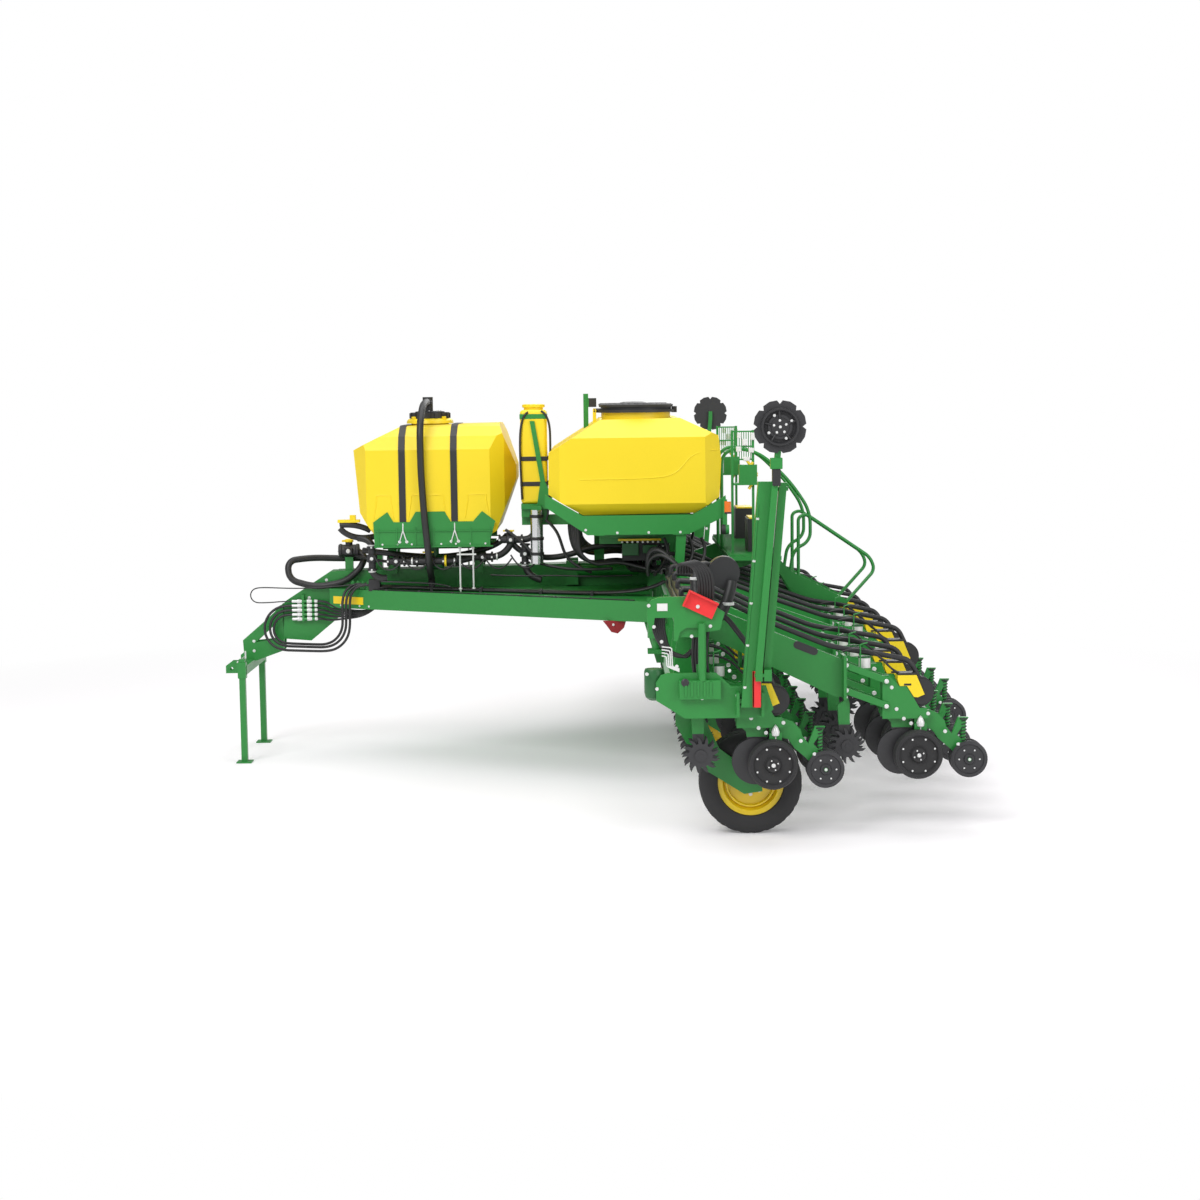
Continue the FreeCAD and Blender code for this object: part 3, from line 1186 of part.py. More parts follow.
def hopper_frame():
    """Build the frame below the hoppers, with the slim tank's arm, lamps and camera post."""
    pieces = []
    under = "hopper_bottom - seat_gap"
    outer_skirt = [
        ("hopper_front + 370", f"{under} - 185"), ("hopper_back - 320", f"{under} - 185"),
        ("hopper_back + 45", f"{under} - 10"), ("hopper_back + 30", f"{under} + 180"),
        ("hopper_back - 5", f"{under} + 155"), ("hopper_back - 275", under), ("hopper_front + 325", under),
        ("hopper_front - 30", f"{under} + 205"), ("hopper_front - 30", f"{under} + 86"),
    ]
    inner_skirt = [
        ("hopper_front + 360", f"{under} - 190"), ("hopper_back - 300", f"{under} - 190"),
        ("hopper_back - 275", under), ("hopper_front + 330", under),
    ]
    for side in (-1, 1):
        for n, (y, skirt, thick) in enumerate((
                ("hopper_inner + 120", inner_skirt, "60"), ("hopper_outer - 150", inner_skirt, "60"),
                ("hopper_outer - 12", outer_skirt, "24"))):
            pieces.append(pad(f"hopper_skirt_{side + 1}_{n}", skirt, thick, (0, f"{side} * ({y})", 0)))
        for n, x in enumerate(("hopper_front + 480", "hopper_back - 420")):
            pieces.append(block(
                f"hopper_cross_{side + 1}_{n}", ("100", "hopper_outer", "90"),
                (x, f"{side} * hopper_outer / 2", f"{under} - 145")))
        foot = (
            "beam_front_top + (hopper_front + 530 - beam_front) * (beam_back_top - beam_front_top)"
            " / (top_bar_front - beam_front) + seat_gap")
        pieces.append(block(
            f"hopper_post_{side + 1}_0", ("100", "100", f"{under} - 160 - ({foot})"),
            ("hopper_front + 480", f"{side} * (beam_half - 50)", f"(({under}) - 160 + {foot}) / 2")))
        foot = "top_bar_bottom + top_bar_height"
        pieces.append(block(
            f"hopper_post_{side + 1}_1", ("80", "100", f"{under} - 160 - ({foot})"),
            ("top_bar_front + 135", f"{side} * (beam_half - 50)", f"(({under}) - 160 + {foot}) / 2")))
        strut = [
            ("hopper_back - 440", f"{under} - 185"), ("hopper_back - 340", f"{under} - 120"),
            ("top_bar_front + 175", foot), ("top_bar_front + 90", foot),
        ]
        pieces.append(pad(f"hopper_strut_{side + 1}", strut, "80", (0, f"{side} * (hopper_outer - 70)", 0)))
        pieces.append(block(
            f"meter_box_{side + 1}", ("360", "420", "190"),
            ("lid_x + 30", f"{side} * lid_y", f"{under} - 375")))
        pieces.append(block(
            f"meter_neck_{side + 1}", ("hopper_back - hopper_front - 900", "380", "130"),
            ("(hopper_front + hopper_back + 60) / 2", f"{side} * lid_y", f"{under} - 240")))
        pieces.append(block(
            f"meter_throat_{side + 1}", ("420", "300", "180"),
            ("lid_x + 30", f"{side} * lid_y", f"{under} - 90")))
        lamp_y = f"{side} * (hopper_outer + 14)"
        pieces.append(block(
            f"lamp_arm_{side + 1}", ("40", "30", "330"), ("hopper_back + 22", lamp_y, f"{under} - 25")))
        pieces.append(rod(
            f"lamp_amber_{side + 1}", "30", ("hopper_back + 50", lamp_y, f"{under} + 20"), "100", "Z"))
        pieces.append(rod(
            f"lamp_work_{side + 1}", "46", ("hopper_back - 10", lamp_y, f"{under} - 145"), "70", "X"))
    shelf = "slim_bottom - seat_gap"
    pieces.append(block(
        "slim_arm", ("hopper_front + 530 - slim_x + slim_half", "80", "100"),
        ("(hopper_front + 530 + slim_x - slim_half) / 2", "slim_y", f"{under} - 85")))
    pieces.append(block(
        "slim_saddle", ("2 * slim_half", "2 * slim_half + 100", "50"),
        ("slim_x", "slim_y", f"{shelf} - 25")))
    pieces.append(block(
        "slim_stem", ("2 * slim_half", "2 * slim_half", "90"), ("slim_x", "slim_y", f"{shelf} - 85")))
    brace = [
        ("slim_x - 34", "slim_top - 110"), ("slim_x + 12", "slim_top - 110"),
        ("slim_x + 110", "slim_bottom + 215"),
        ("slim_x + 180", "slim_bottom + 60"), ("slim_x + 130", "slim_bottom - 50"),
        ("slim_x + 20", "slim_bottom - 50"), ("slim_x + 62", "slim_bottom + 215"),
    ]
    pieces.append(pad("slim_brace", brace, "20", (0, "slim_y - slim_half - 40 - seat_gap", 0)))
    pieces.append(block(
        "drum_bracket", ("100", "drum_shift + 60", "40"),
        ("slim_x + 20", "slim_y - drum_shift / 2 - 30", "slim_bottom - 36")))
    pieces.append(block(
        "camera_post", ("50", "50", "hopper_top + 240 - hopper_bottom + 190"),
        ("hopper_front + 363", "0", "(hopper_top + 240 + hopper_bottom - 190) / 2")))
    pieces.append(block(
        "camera_cross", ("60", "2 * hopper_inner + 260", "60"),
        ("hopper_front + 393", "0", f"{under} - 150")))
    pieces.append(block("camera_head", ("90", "70", "90"), ("hopper_front + 425", "0", "hopper_top + 150")))
    keep("hopper_frame", joined("hopper_frame_all", pieces))


def platform():
    """Build the platform behind the hoppers with its grille, stair and handrails."""
    floor = "2050"
    front, back = "hopper_back + 60", "hopper_back + 560"
    pieces = [block("platform_deck", ("500", "2 * hopper_outer", "40"), ("hopper_back + 310", "0", floor))]
    for side in (-1, 1):
        bar_rear = "top_bar_front + top_bar_depth"
        brace = [
            (front, f"{floor} - 20"), (back, f"{floor} - 20"), (bar_rear, "top_bar_bottom + 60"),
            (bar_rear, "top_bar_bottom + 190"),
        ]
        pieces.append(pad(f"platform_brace_{side + 1}", brace, "60", (0, f"{side} * 900", 0)))
        stair_y = f"{side} * (row_pitch / 2 - beam_width / 2 - 10 - seat_gap)"
        stringer = [
            (f"{back} - 60", f"{floor} - 20"), (back, f"{floor} - 20"), (f"{back} + 190", "1830"),
            (f"{back} + 770", "1525"), (f"{back} + 750", "upper_link_z + 90"),
            ("rear_centre_face - 20", "upper_link_z + 90"), ("rear_centre_face - 40", "upper_link_z + 8"),
            ("rear_centre_face - 140", "upper_link_z + 8"), (f"{back} + 120", "1740"),
        ]
        pieces.append(pad(f"stair_side_{side + 1}", stringer, "20", (0, stair_y, 0)))
        rail_y = f"{side} * (row_pitch / 2 - beam_width / 2 - 20)"
        upper_rail = [
            (front, "2060"), (front, "3080"), ("1780", "3040"), ("2100", "2730"), ("2300", "2430"),
            ("2300", "2130"),
            ("2130", "2040"), (f"{back} + 180", "1800"),
        ]
        lower_rail = [
            ("2180", "1720"), ("2180", "2370"), ("2260", "2400"), ("2900", "1960"), ("2950", "1830"),
            (f"{back} + 740", "1500"),
        ]
        for name, way in (("upper", upper_rail), ("lower", lower_rail)):
            pieces.append(pipe(
                f"handrail_{name}_{side + 1}", [(x, rail_y, z) for x, z in way], "rail_radius"))
        post_y = f"{side} * (hopper_outer - 240)"
        for n, x in enumerate((f"{front} + 50", f"{front} + 250")):
            pieces.append(block(
                f"grille_post_{side + 1}_{n}", ("24", "24", "1200"), (x, post_y, f"{floor} + 615")))
        for n, level in enumerate(("935", "1060", "1203")):
            pieces.append(block(
                f"grille_bar_{side + 1}_{n}", ("224", "14", "14"),
                (f"{front} + 150", post_y, f"{floor} + {level}")))
        for n in range(8):
            pieces.append(block(
                f"grille_rod_{side + 1}_{n}", ("8", "8", "280"),
                (f"{front} + 75 + {n} * 22", post_y, f"{floor} + 1070")))
        pieces.append(block(
            f"valve_shelf_{side + 1}", ("260", "120", "20"), (f"{front} + 190", post_y, f"{floor} + 700")))
        pieces.append(block(
            f"valve_stack_{side + 1}", ("170", "110", "180"), (f"{front} + 200", post_y, f"{floor} + 795")))
        pieces.append(block(
            f"deck_box_{side + 1}", ("190", "420", "340"),
            (f"{front} + 300", f"{side} * 900", f"{floor} + 185")))
    for n, (x, level) in enumerate((("2130", "1740"), ("2350", "1620"), ("2560", "1510"))):
        pieces.append(block(
            f"stair_tread_{n}", ("180", "row_pitch - beam_width - 20", "28"), (x, "0", level)))
    keep("platform", joined("platform_all", pieces))


# Row markers

def eye_arm(name, outline, thick, y, eyes):
    """Pad an arm in its own upright plane and bore its eyes along X."""
    arm = pad(name, outline, thick, (0, y, 0))
    tools = []
    for n, (radius, start, length, eye_y, eye_z) in enumerate(eyes):
        tools.append(rod(
            f"{name}_eye_{n}", f"{radius} + hub_clearance", (start, eye_y, eye_z), length, "X"))
    return cut(f"{name}_bored", arm, gathered(f"{name}_eyes", tools))


def marker():
    """Build the left marker, folded upright: three arms, a notched disc and the folding cylinder."""
    lean = "marker_lean / (marker_top_z - marker_base_z)"
    rear = "marker_x + marker_width / 2"
    inner = [
        ("marker_x - marker_width / 2", "marker_base_z - marker_foot"),
        (f"{rear} - marker_foot * {lean}", "marker_base_z - marker_foot"),
        (f"{rear} + marker_lean", "marker_top_z"),
        (f"{rear} - 60 * {lean} + marker_lean", "marker_top_z + 60"),
        ("marker_x + marker_lean - 80", "marker_top_z + 60"),
    ]
    arm = eye_arm(
        "marker_inner", inner, "90", "-marker_y",
        [("marker_pin", "marker_x - marker_width", "2 * marker_width", "-marker_y", "marker_base_z")])
    top_pin = rod(
        "marker_top_pin", "marker_link_pin", ("marker_x + marker_lean + 30", "-marker_y", "marker_top_z"),
        "marker_gap + 120", "X")
    horn = block(
        "marker_horn", ("22", "140", "70"),
        ("cylinder_x - 37", "-marker_y + 100", "marker_base_z + horn_height"))
    keep("marker_inner_left", joined("marker_inner_all", [arm, top_pin, horn]))

    middle_front = f"({rear} + marker_gap + (marker_knee_z - 50 - marker_base_z) * {lean})"
    top_front = f"({rear} + marker_gap + marker_lean + 50 * {lean})"
    middle = [
        (middle_front, "marker_knee_z - 50"), (f"{middle_front} + 60", "marker_knee_z - 50"),
        (f"{top_front} + 60", "marker_top_z + 50"), (top_front, "marker_top_z + 50"),
    ]
    strap = eye_arm(
        "marker_middle", middle, "60", "-marker_y",
        [("marker_link_pin", "marker_x + marker_lean", "300", "-marker_y", "marker_top_z")])
    knee = block(
        "marker_knee", ("60", "marker_stack + 30", "90"),
        (f"{middle_front} + 36", "-marker_y - marker_stack / 2", "marker_knee_z"))
    knee_pin = rod(
        "marker_knee_pin", "marker_link_pin",
        (f"{middle_front} - 70", "-marker_y - marker_stack", "marker_knee_z"),
        "90", "X")
    keep("marker_middle_left", joined("marker_middle_all", [strap, knee, knee_pin]))

    outer_back = f"{middle_front} - marker_gap"
    outer = [
        (f"{outer_back} - 55", "marker_knee_z - 45"), (outer_back, "marker_knee_z - 45"),
        (outer_back, "marker_knee_z + 60"), ("disc_x + 22", "disc_z - 60"), ("disc_x + 22", "disc_z + 25"),
        ("disc_x - 22", "disc_z + 25"), ("disc_x - 25", "disc_z - 60"),
        (f"{outer_back} - 55", "marker_knee_z + 60"),
    ]
    beam = eye_arm(
        "marker_outer", outer, "40", "-marker_y - marker_stack",
        [("marker_link_pin", f"{outer_back} - 100", "200", "-marker_y - marker_stack", "marker_knee_z")])
    stub = rod(
        "marker_disc_pin", "marker_link_pin", ("disc_x", "-marker_y - marker_stack - 48", "disc_z"), "40")
    keep("marker_outer_left", joined("marker_outer_all", [beam, stub]))

    radius = number("disc_radius")
    corners = []
    for notch in range(8):
        for turn, reach in ((0, 0.86), (0.14, 1), (0.5, 1.02), (0.86, 1)):
            angle = math.pi * (notch + turn) / 4
            corners.append(Vector(radius * reach * math.cos(angle), -6, radius * reach * math.sin(angle)))
    face = Part.Face(Part.makePolygon(corners + corners[:1]))
    bore = Part.makeCylinder(
        number("marker_link_pin + hub_clearance"), 60, Vector(0, -30, 0), Vector(0, 1, 0))
    disc = doc.addObject("Part::Feature", "marker_disc")
    hub = Part.makeCylinder(95, 32, Vector(0, -26, 0), Vector(0, 1, 0))
    disc.Shape = face.extrude(Vector(0, 12, 0)).fuse(hub).cut(bore)
    place(disc, ("disc_x", "-marker_y - marker_stack - 34", "disc_z"))
    keep("marker_disc_left", disc)


def marker_cylinder():
    """Build the left marker's cylinder along the toolbar: barrel and rod."""
    base = Vector(number("cylinder_x"), -number("cylinder_base_y"), number("cylinder_base_z"))
    tip = Vector(
        number("cylinder_x"), number("horn_reach - marker_y"), number("marker_base_z + horn_height"))
    run = tip - base
    way = Vector(run).normalize()
    barrel_length = run.Length - 150
    barrel = doc.addObject("Part::Feature", "marker_barrel")
    tube = Part.makeCylinder(38, barrel_length, base, way)
    eye = Part.makeCylinder(38, 60, base - Vector(30, 0, 0), Vector(1, 0, 0))
    bore = Part.makeCylinder(number("rod_radius + hub_clearance"), run.Length, base + way * 80, way)
    pin_bore = Part.makeCylinder(
        number("marker_link_pin + hub_clearance"), 200, base - Vector(100, 0, 0), Vector(1, 0, 0))
    barrel.Shape = tube.fuse(eye).cut(bore).cut(pin_bore)
    keep("marker_barrel_left", barrel)
    rod_piece = doc.addObject("Part::Feature", "marker_rod")
    shaft = Part.makeCylinder(number("rod_radius"), run.Length - 110, base + way * 85, way)
    rod_eye = Part.makeCylinder(26, 44, tip - Vector(22, 0, 0), Vector(1, 0, 0))
    rod_piece.Shape = shaft.fuse(rod_eye)
    keep("marker_rod_left", rod_piece)


def both_markers():
    """Build the left marker and mirror each of its pieces to the right."""
    first = len(NODES)
    marker()
    marker_cylinder()
    for source in NODES[first:]:
        name = source.Label.replace("_left", "_right")
        keep(name, mirrored(f"{name}_mirror", source))


tongue()
hitch_hoses()
hitch_bar()
front_tank()
tank_cradle()
tank_plumbing()
slim_column()
hopper_bins()
hopper_lids()
hopper_frame()
platform()
row_units()
centre_toolbar()
wing_toolbar()
wheels()
both_markers()

doc.recompute()
os.makedirs("parts", exist_ok=True)
failed = [item.Name for item in doc.Objects if "Invalid" in item.State or "Error" in item.State]
if failed:
    raise RuntimeError(f"failed objects: {failed}")
for node in NODES:
    shape = node.Shape
    if shape.isNull() or not shape.isValid():
        raise RuntimeError(f"bad shape: {node.Label}")
    shape.exportStep(f"parts/{node.Label}.step")
    print(node.Label, len(shape.Solids), round(shape.Volume / 1e9, 4))
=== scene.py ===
"""Finishes and trim for a towed split-row crop planter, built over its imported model."""

import logging
import math
from dataclasses import dataclass, field
from enum import Enum

import bmesh
import bpy
from mathutils import Matrix, Vector
from mathutils.bvhtree import BVHTree


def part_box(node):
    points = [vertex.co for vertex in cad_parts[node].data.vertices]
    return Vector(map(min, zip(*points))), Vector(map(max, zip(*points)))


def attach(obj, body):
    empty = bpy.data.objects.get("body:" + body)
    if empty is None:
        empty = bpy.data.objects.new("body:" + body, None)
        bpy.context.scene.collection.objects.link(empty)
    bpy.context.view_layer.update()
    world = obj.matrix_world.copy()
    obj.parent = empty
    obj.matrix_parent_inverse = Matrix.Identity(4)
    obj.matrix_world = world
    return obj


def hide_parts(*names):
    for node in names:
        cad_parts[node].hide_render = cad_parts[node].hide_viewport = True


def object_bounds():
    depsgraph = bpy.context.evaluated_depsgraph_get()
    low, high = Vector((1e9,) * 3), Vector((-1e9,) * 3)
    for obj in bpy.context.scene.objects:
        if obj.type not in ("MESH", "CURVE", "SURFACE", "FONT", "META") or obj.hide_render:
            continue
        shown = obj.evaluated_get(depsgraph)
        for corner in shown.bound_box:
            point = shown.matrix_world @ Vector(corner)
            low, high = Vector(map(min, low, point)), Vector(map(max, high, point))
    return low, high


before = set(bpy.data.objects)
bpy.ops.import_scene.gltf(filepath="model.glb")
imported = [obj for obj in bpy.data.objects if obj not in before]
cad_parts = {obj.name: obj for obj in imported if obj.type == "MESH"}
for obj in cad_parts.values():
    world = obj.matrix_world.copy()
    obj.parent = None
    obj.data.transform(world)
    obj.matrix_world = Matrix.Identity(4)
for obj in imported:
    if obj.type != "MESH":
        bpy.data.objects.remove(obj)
cad_low, cad_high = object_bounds()

LOG = logging.getLogger("planter")
PITCH = 0.762
PURE_WHITE = (1.0, 1.0, 1.0, 1.0)
Point = tuple[float, float, float]
Outline = list[tuple[float, float]]


class Side(Enum):
    """The two sides of the planter, seen from behind it."""

    LEFT = -1
    RIGHT = 1

    @property
    def word(self) -> str:
        """Give the side's name as the node and body names have it."""
        return self.name.lower()


# Finishes

@dataclass(frozen=True)
class Finish:
    """One paint, plastic, rubber or metal, with the unevenness that it has close up."""

    name: str
    colour: Point
    roughness: float
    metallic: float = 0.0
    grain: float = 40.0
    unevenness: float = 0.08
    bump: float = 0.05
    coat: float = 0.0


GREEN = Finish("green_paint", (0.022, 0.245, 0.042), 0.4, grain=24, unevenness=0.1, coat=0.1)
# Painted shade: a darker copy of the green paint, which paints shade onto the pump, manifold boxes, pod caps
# and filter can.
SHADE_PAINTED_GREEN = Finish("painted_shade_green_paint", (0.014, 0.12, 0.03), 0.45, grain=24, coat=0.1)
YELLOW_POLY = Finish("yellow_moulded_plastic", (0.93, 0.7, 0.016), 0.4, grain=90, unevenness=0.05, bump=0.08)
YELLOW = Finish("yellow_paint", (0.93, 0.66, 0.012), 0.35, grain=30, coat=0.25)
BLACK = Finish("black_plastic", (0.022, 0.022, 0.024), 0.5, grain=180, unevenness=0.2, bump=0.12)
HOSE = Finish("hose_rubber", (0.018, 0.018, 0.019), 0.46, grain=240, unevenness=0.25, bump=0.15)
RUBBER = Finish("tyre_rubber", (0.027, 0.027, 0.028), 0.72, grain=160, unevenness=0.25, bump=0.25)
CHARCOAL = Finish("charcoal_steel", (0.031, 0.031, 0.034), 0.48, grain=60, unevenness=0.22, bump=0.1)
STEEL = Finish("bright_steel", (0.78, 0.79, 0.8), 0.24, metallic=1.0, grain=120, unevenness=0.05)
ZINC = Finish("zinc_plate", (0.8, 0.81, 0.8), 0.42, metallic=0.35, grain=110, unevenness=0.12)
WHITE = Finish("white_plastic", (0.8, 0.8, 0.78), 0.4, grain=70, unevenness=0.05)
RED = Finish("red_paint", (0.82, 0.028, 0.03), 0.4, grain=30, coat=0.15)
# Painted shade: a darker copy of the red paint, for the locks that hang in the shade under the rails.
SHADE_PAINTED_RED = Finish("painted_shade_red_paint", (0.3, 0.012, 0.016), 0.5, grain=30)
AMBER = Finish("amber_lens", (0.9, 0.2, 0.02), 0.18, grain=300, unevenness=0.03, coat=0.5)
LENS = Finish("clear_lens", (0.72, 0.74, 0.76), 0.15, metallic=0.2, grain=300, unevenness=0.1, coat=0.6)


@dataclass(frozen=True)
class Zone:
    """A box of a node's own space that has another finish than the rest of the node.

    With a pitch the box repeats along Y from its start, and mirrored takes Y without its sign.
    """

    finish: Finish
    low: Point
    high: Point
    pitch: float = 0.0
    start: float = 0.0
    mirrored: bool = False


@dataclass
class NodeTree:
    """Adds shader nodes to one material and joins them."""

    material: bpy.types.Material

    def node(self, kind: str, inputs: dict[int | str, object] | None = None,
             **settings: object) -> bpy.types.Node:
        """Add one shader node.

        Args:
            kind: The node's type name.
            inputs: Values or sockets for its inputs.
            settings: Attributes to set on the node.

        Returns:
            The new node.
        """
        made = self.material.node_tree.nodes.new(kind)
        for name, value in settings.items():
            setattr(made, name, value)
        for key, value in (inputs or {}).items():
            if isinstance(value, bpy.types.NodeSocket):
                self.material.node_tree.links.new(value, made.inputs[key])
            else:
                made.inputs[key].default_value = value
        return made

    def math(self, operation: str, *values: object) -> bpy.types.NodeSocket:
        """Add a math node and give its result."""
        return self.node("ShaderNodeMath", dict(enumerate(values)), operation=operation).outputs[0]

    def vector(self, operation: str, *values: object) -> bpy.types.NodeSocket:
        """Add a vector math node and give its vector."""
        return self.node("ShaderNodeVectorMath", dict(enumerate(values)), operation=operation).outputs[0]

    def inside(self, place: bpy.types.NodeSocket, zone: Zone) -> bpy.types.NodeSocket:
        """Tell where a point lies in a zone.

        Args:
            place: The socket with the point.
            zone: The zone to test.

        Returns:
            A socket that is 1 in the zone and 0 outside it.
        """
        if zone.pitch or zone.mirrored:
            parts = self.node("ShaderNodeSeparateXYZ", {0: place}).outputs
            across = parts[1]
            if zone.pitch:
                shifted = self.math("SUBTRACT", across, zone.start)
                across = self.math("WRAP", shifted, zone.pitch / 2, -zone.pitch / 2)
            if zone.mirrored:
                across = self.math("ABSOLUTE", across)
            place = self.node("ShaderNodeCombineXYZ", {0: parts[0], 1: across, 2: parts[2]}).outputs[0]
        middle = tuple((a + b) / 2 for a, b in zip(zone.low, zone.high))
        half = tuple((b - a) / 2 for a, b in zip(zone.low, zone.high))
        away = self.vector("SUBTRACT", self.vector("ABSOLUTE", self.vector("SUBTRACT", place, middle)), half)
        parts = self.node("ShaderNodeSeparateXYZ", {0: away}).outputs
        most = self.math("MAXIMUM", self.math("MAXIMUM", parts[0], parts[1]), parts[2])
        return self.math("LESS_THAN", most, 0.0)


@dataclass
class Paintshop:
    """Makes each material once and keeps it, with blotches, fine grain and a slight bump."""

    blotch_scale: float = 1.7
    detail: float = 3.0
    roughness_spread: float = 0.16
    bump_distance: float = 0.002
    coat_roughness: float = 0.2
    made: dict[tuple[Finish, tuple[Zone, ...]], bpy.types.Material] = field(default_factory=dict)

    def material(self, finish: Finish, zones: tuple[Zone, ...] = ()) -> bpy.types.Material:
        """Give the material for a finish, with the zones that differ from it.

        Args:
            finish: The finish of most of the surface.
            zones: The places with another finish.

        Returns:
            The Blender material.
        """
        key = (finish, zones)
        if key not in self.made:
            self.made[key] = self.mix(finish, zones)
        return self.made[key]

    def mix(self, finish: Finish, zones: tuple[Zone, ...]) -> bpy.types.Material:
        """Build a new material.

        Args:
            finish: The finish of most of the surface.
            zones: The places with another finish.

        Returns:
            The Blender material.
        """
        name = f"{finish.name}_zoned_{len(self.made)}" if zones else finish.name
        material = bpy.data.materials.new(name)
        material.use_nodes = True
        material.node_tree.nodes.clear()
        tree = NodeTree(material)
        place = tree.node("ShaderNodeTexCoord").outputs["Object"]
        noises = [
            tree.node("ShaderNodeTexNoise", {"Vector": place, "Scale": scale, "Detail": self.detail})
            for scale in (self.blotch_scale, finish.grain)]
        blotch, fine = (noise.outputs[0] for noise in noises)
        colour: object = finish.colour
        roughness: object = finish.roughness
        metallic: object = finish.metallic
        for zone in zones:
            mask = tree.inside(place, zone)
            other = zone.finish
            mixed = tree.node("ShaderNodeMix", {0: mask, 4: colour, 5: other.colour}, data_type="VECTOR")
            colour = mixed.outputs[1]
            roughness = tree.node("ShaderNodeMix", {0: mask, 2: roughness, 3: other.roughness}).outputs[0]
            metallic = tree.node("ShaderNodeMix", {0: mask, 2: metallic, 3: other.metallic}).outputs[0]
        spread = finish.unevenness
        speckle = tree.math("MULTIPLY", fine, spread)
        tone = tree.math("ADD", tree.math("MULTIPLY", blotch, spread), speckle)
        lift = tree.math("ADD", tone, 1.0 - spread)
        shaded = tree.node("ShaderNodeVectorMath", {0: colour, 3: lift}, operation="SCALE")
        patches = tree.math("MULTIPLY", blotch, self.roughness_spread)
        rough = tree.math("ADD", patches, tree.math("SUBTRACT", roughness, self.roughness_spread / 2))
        raised = tree.node(
            "ShaderNodeBump", {"Height": fine, "Strength": finish.bump, "Distance": self.bump_distance})
        values = {
            "Base Color": shaded.outputs[0], "Roughness": rough, "Metallic": metallic,
            "Normal": raised.outputs[0], "Coat Weight": finish.coat,
            "Coat Roughness": self.coat_roughness,
        }
        shader = tree.node("ShaderNodeBsdfPrincipled", values)
        tree.node("ShaderNodeOutputMaterial", {0: shader.outputs[0]})
        return material


SHOP = Paintshop()


# Shapes

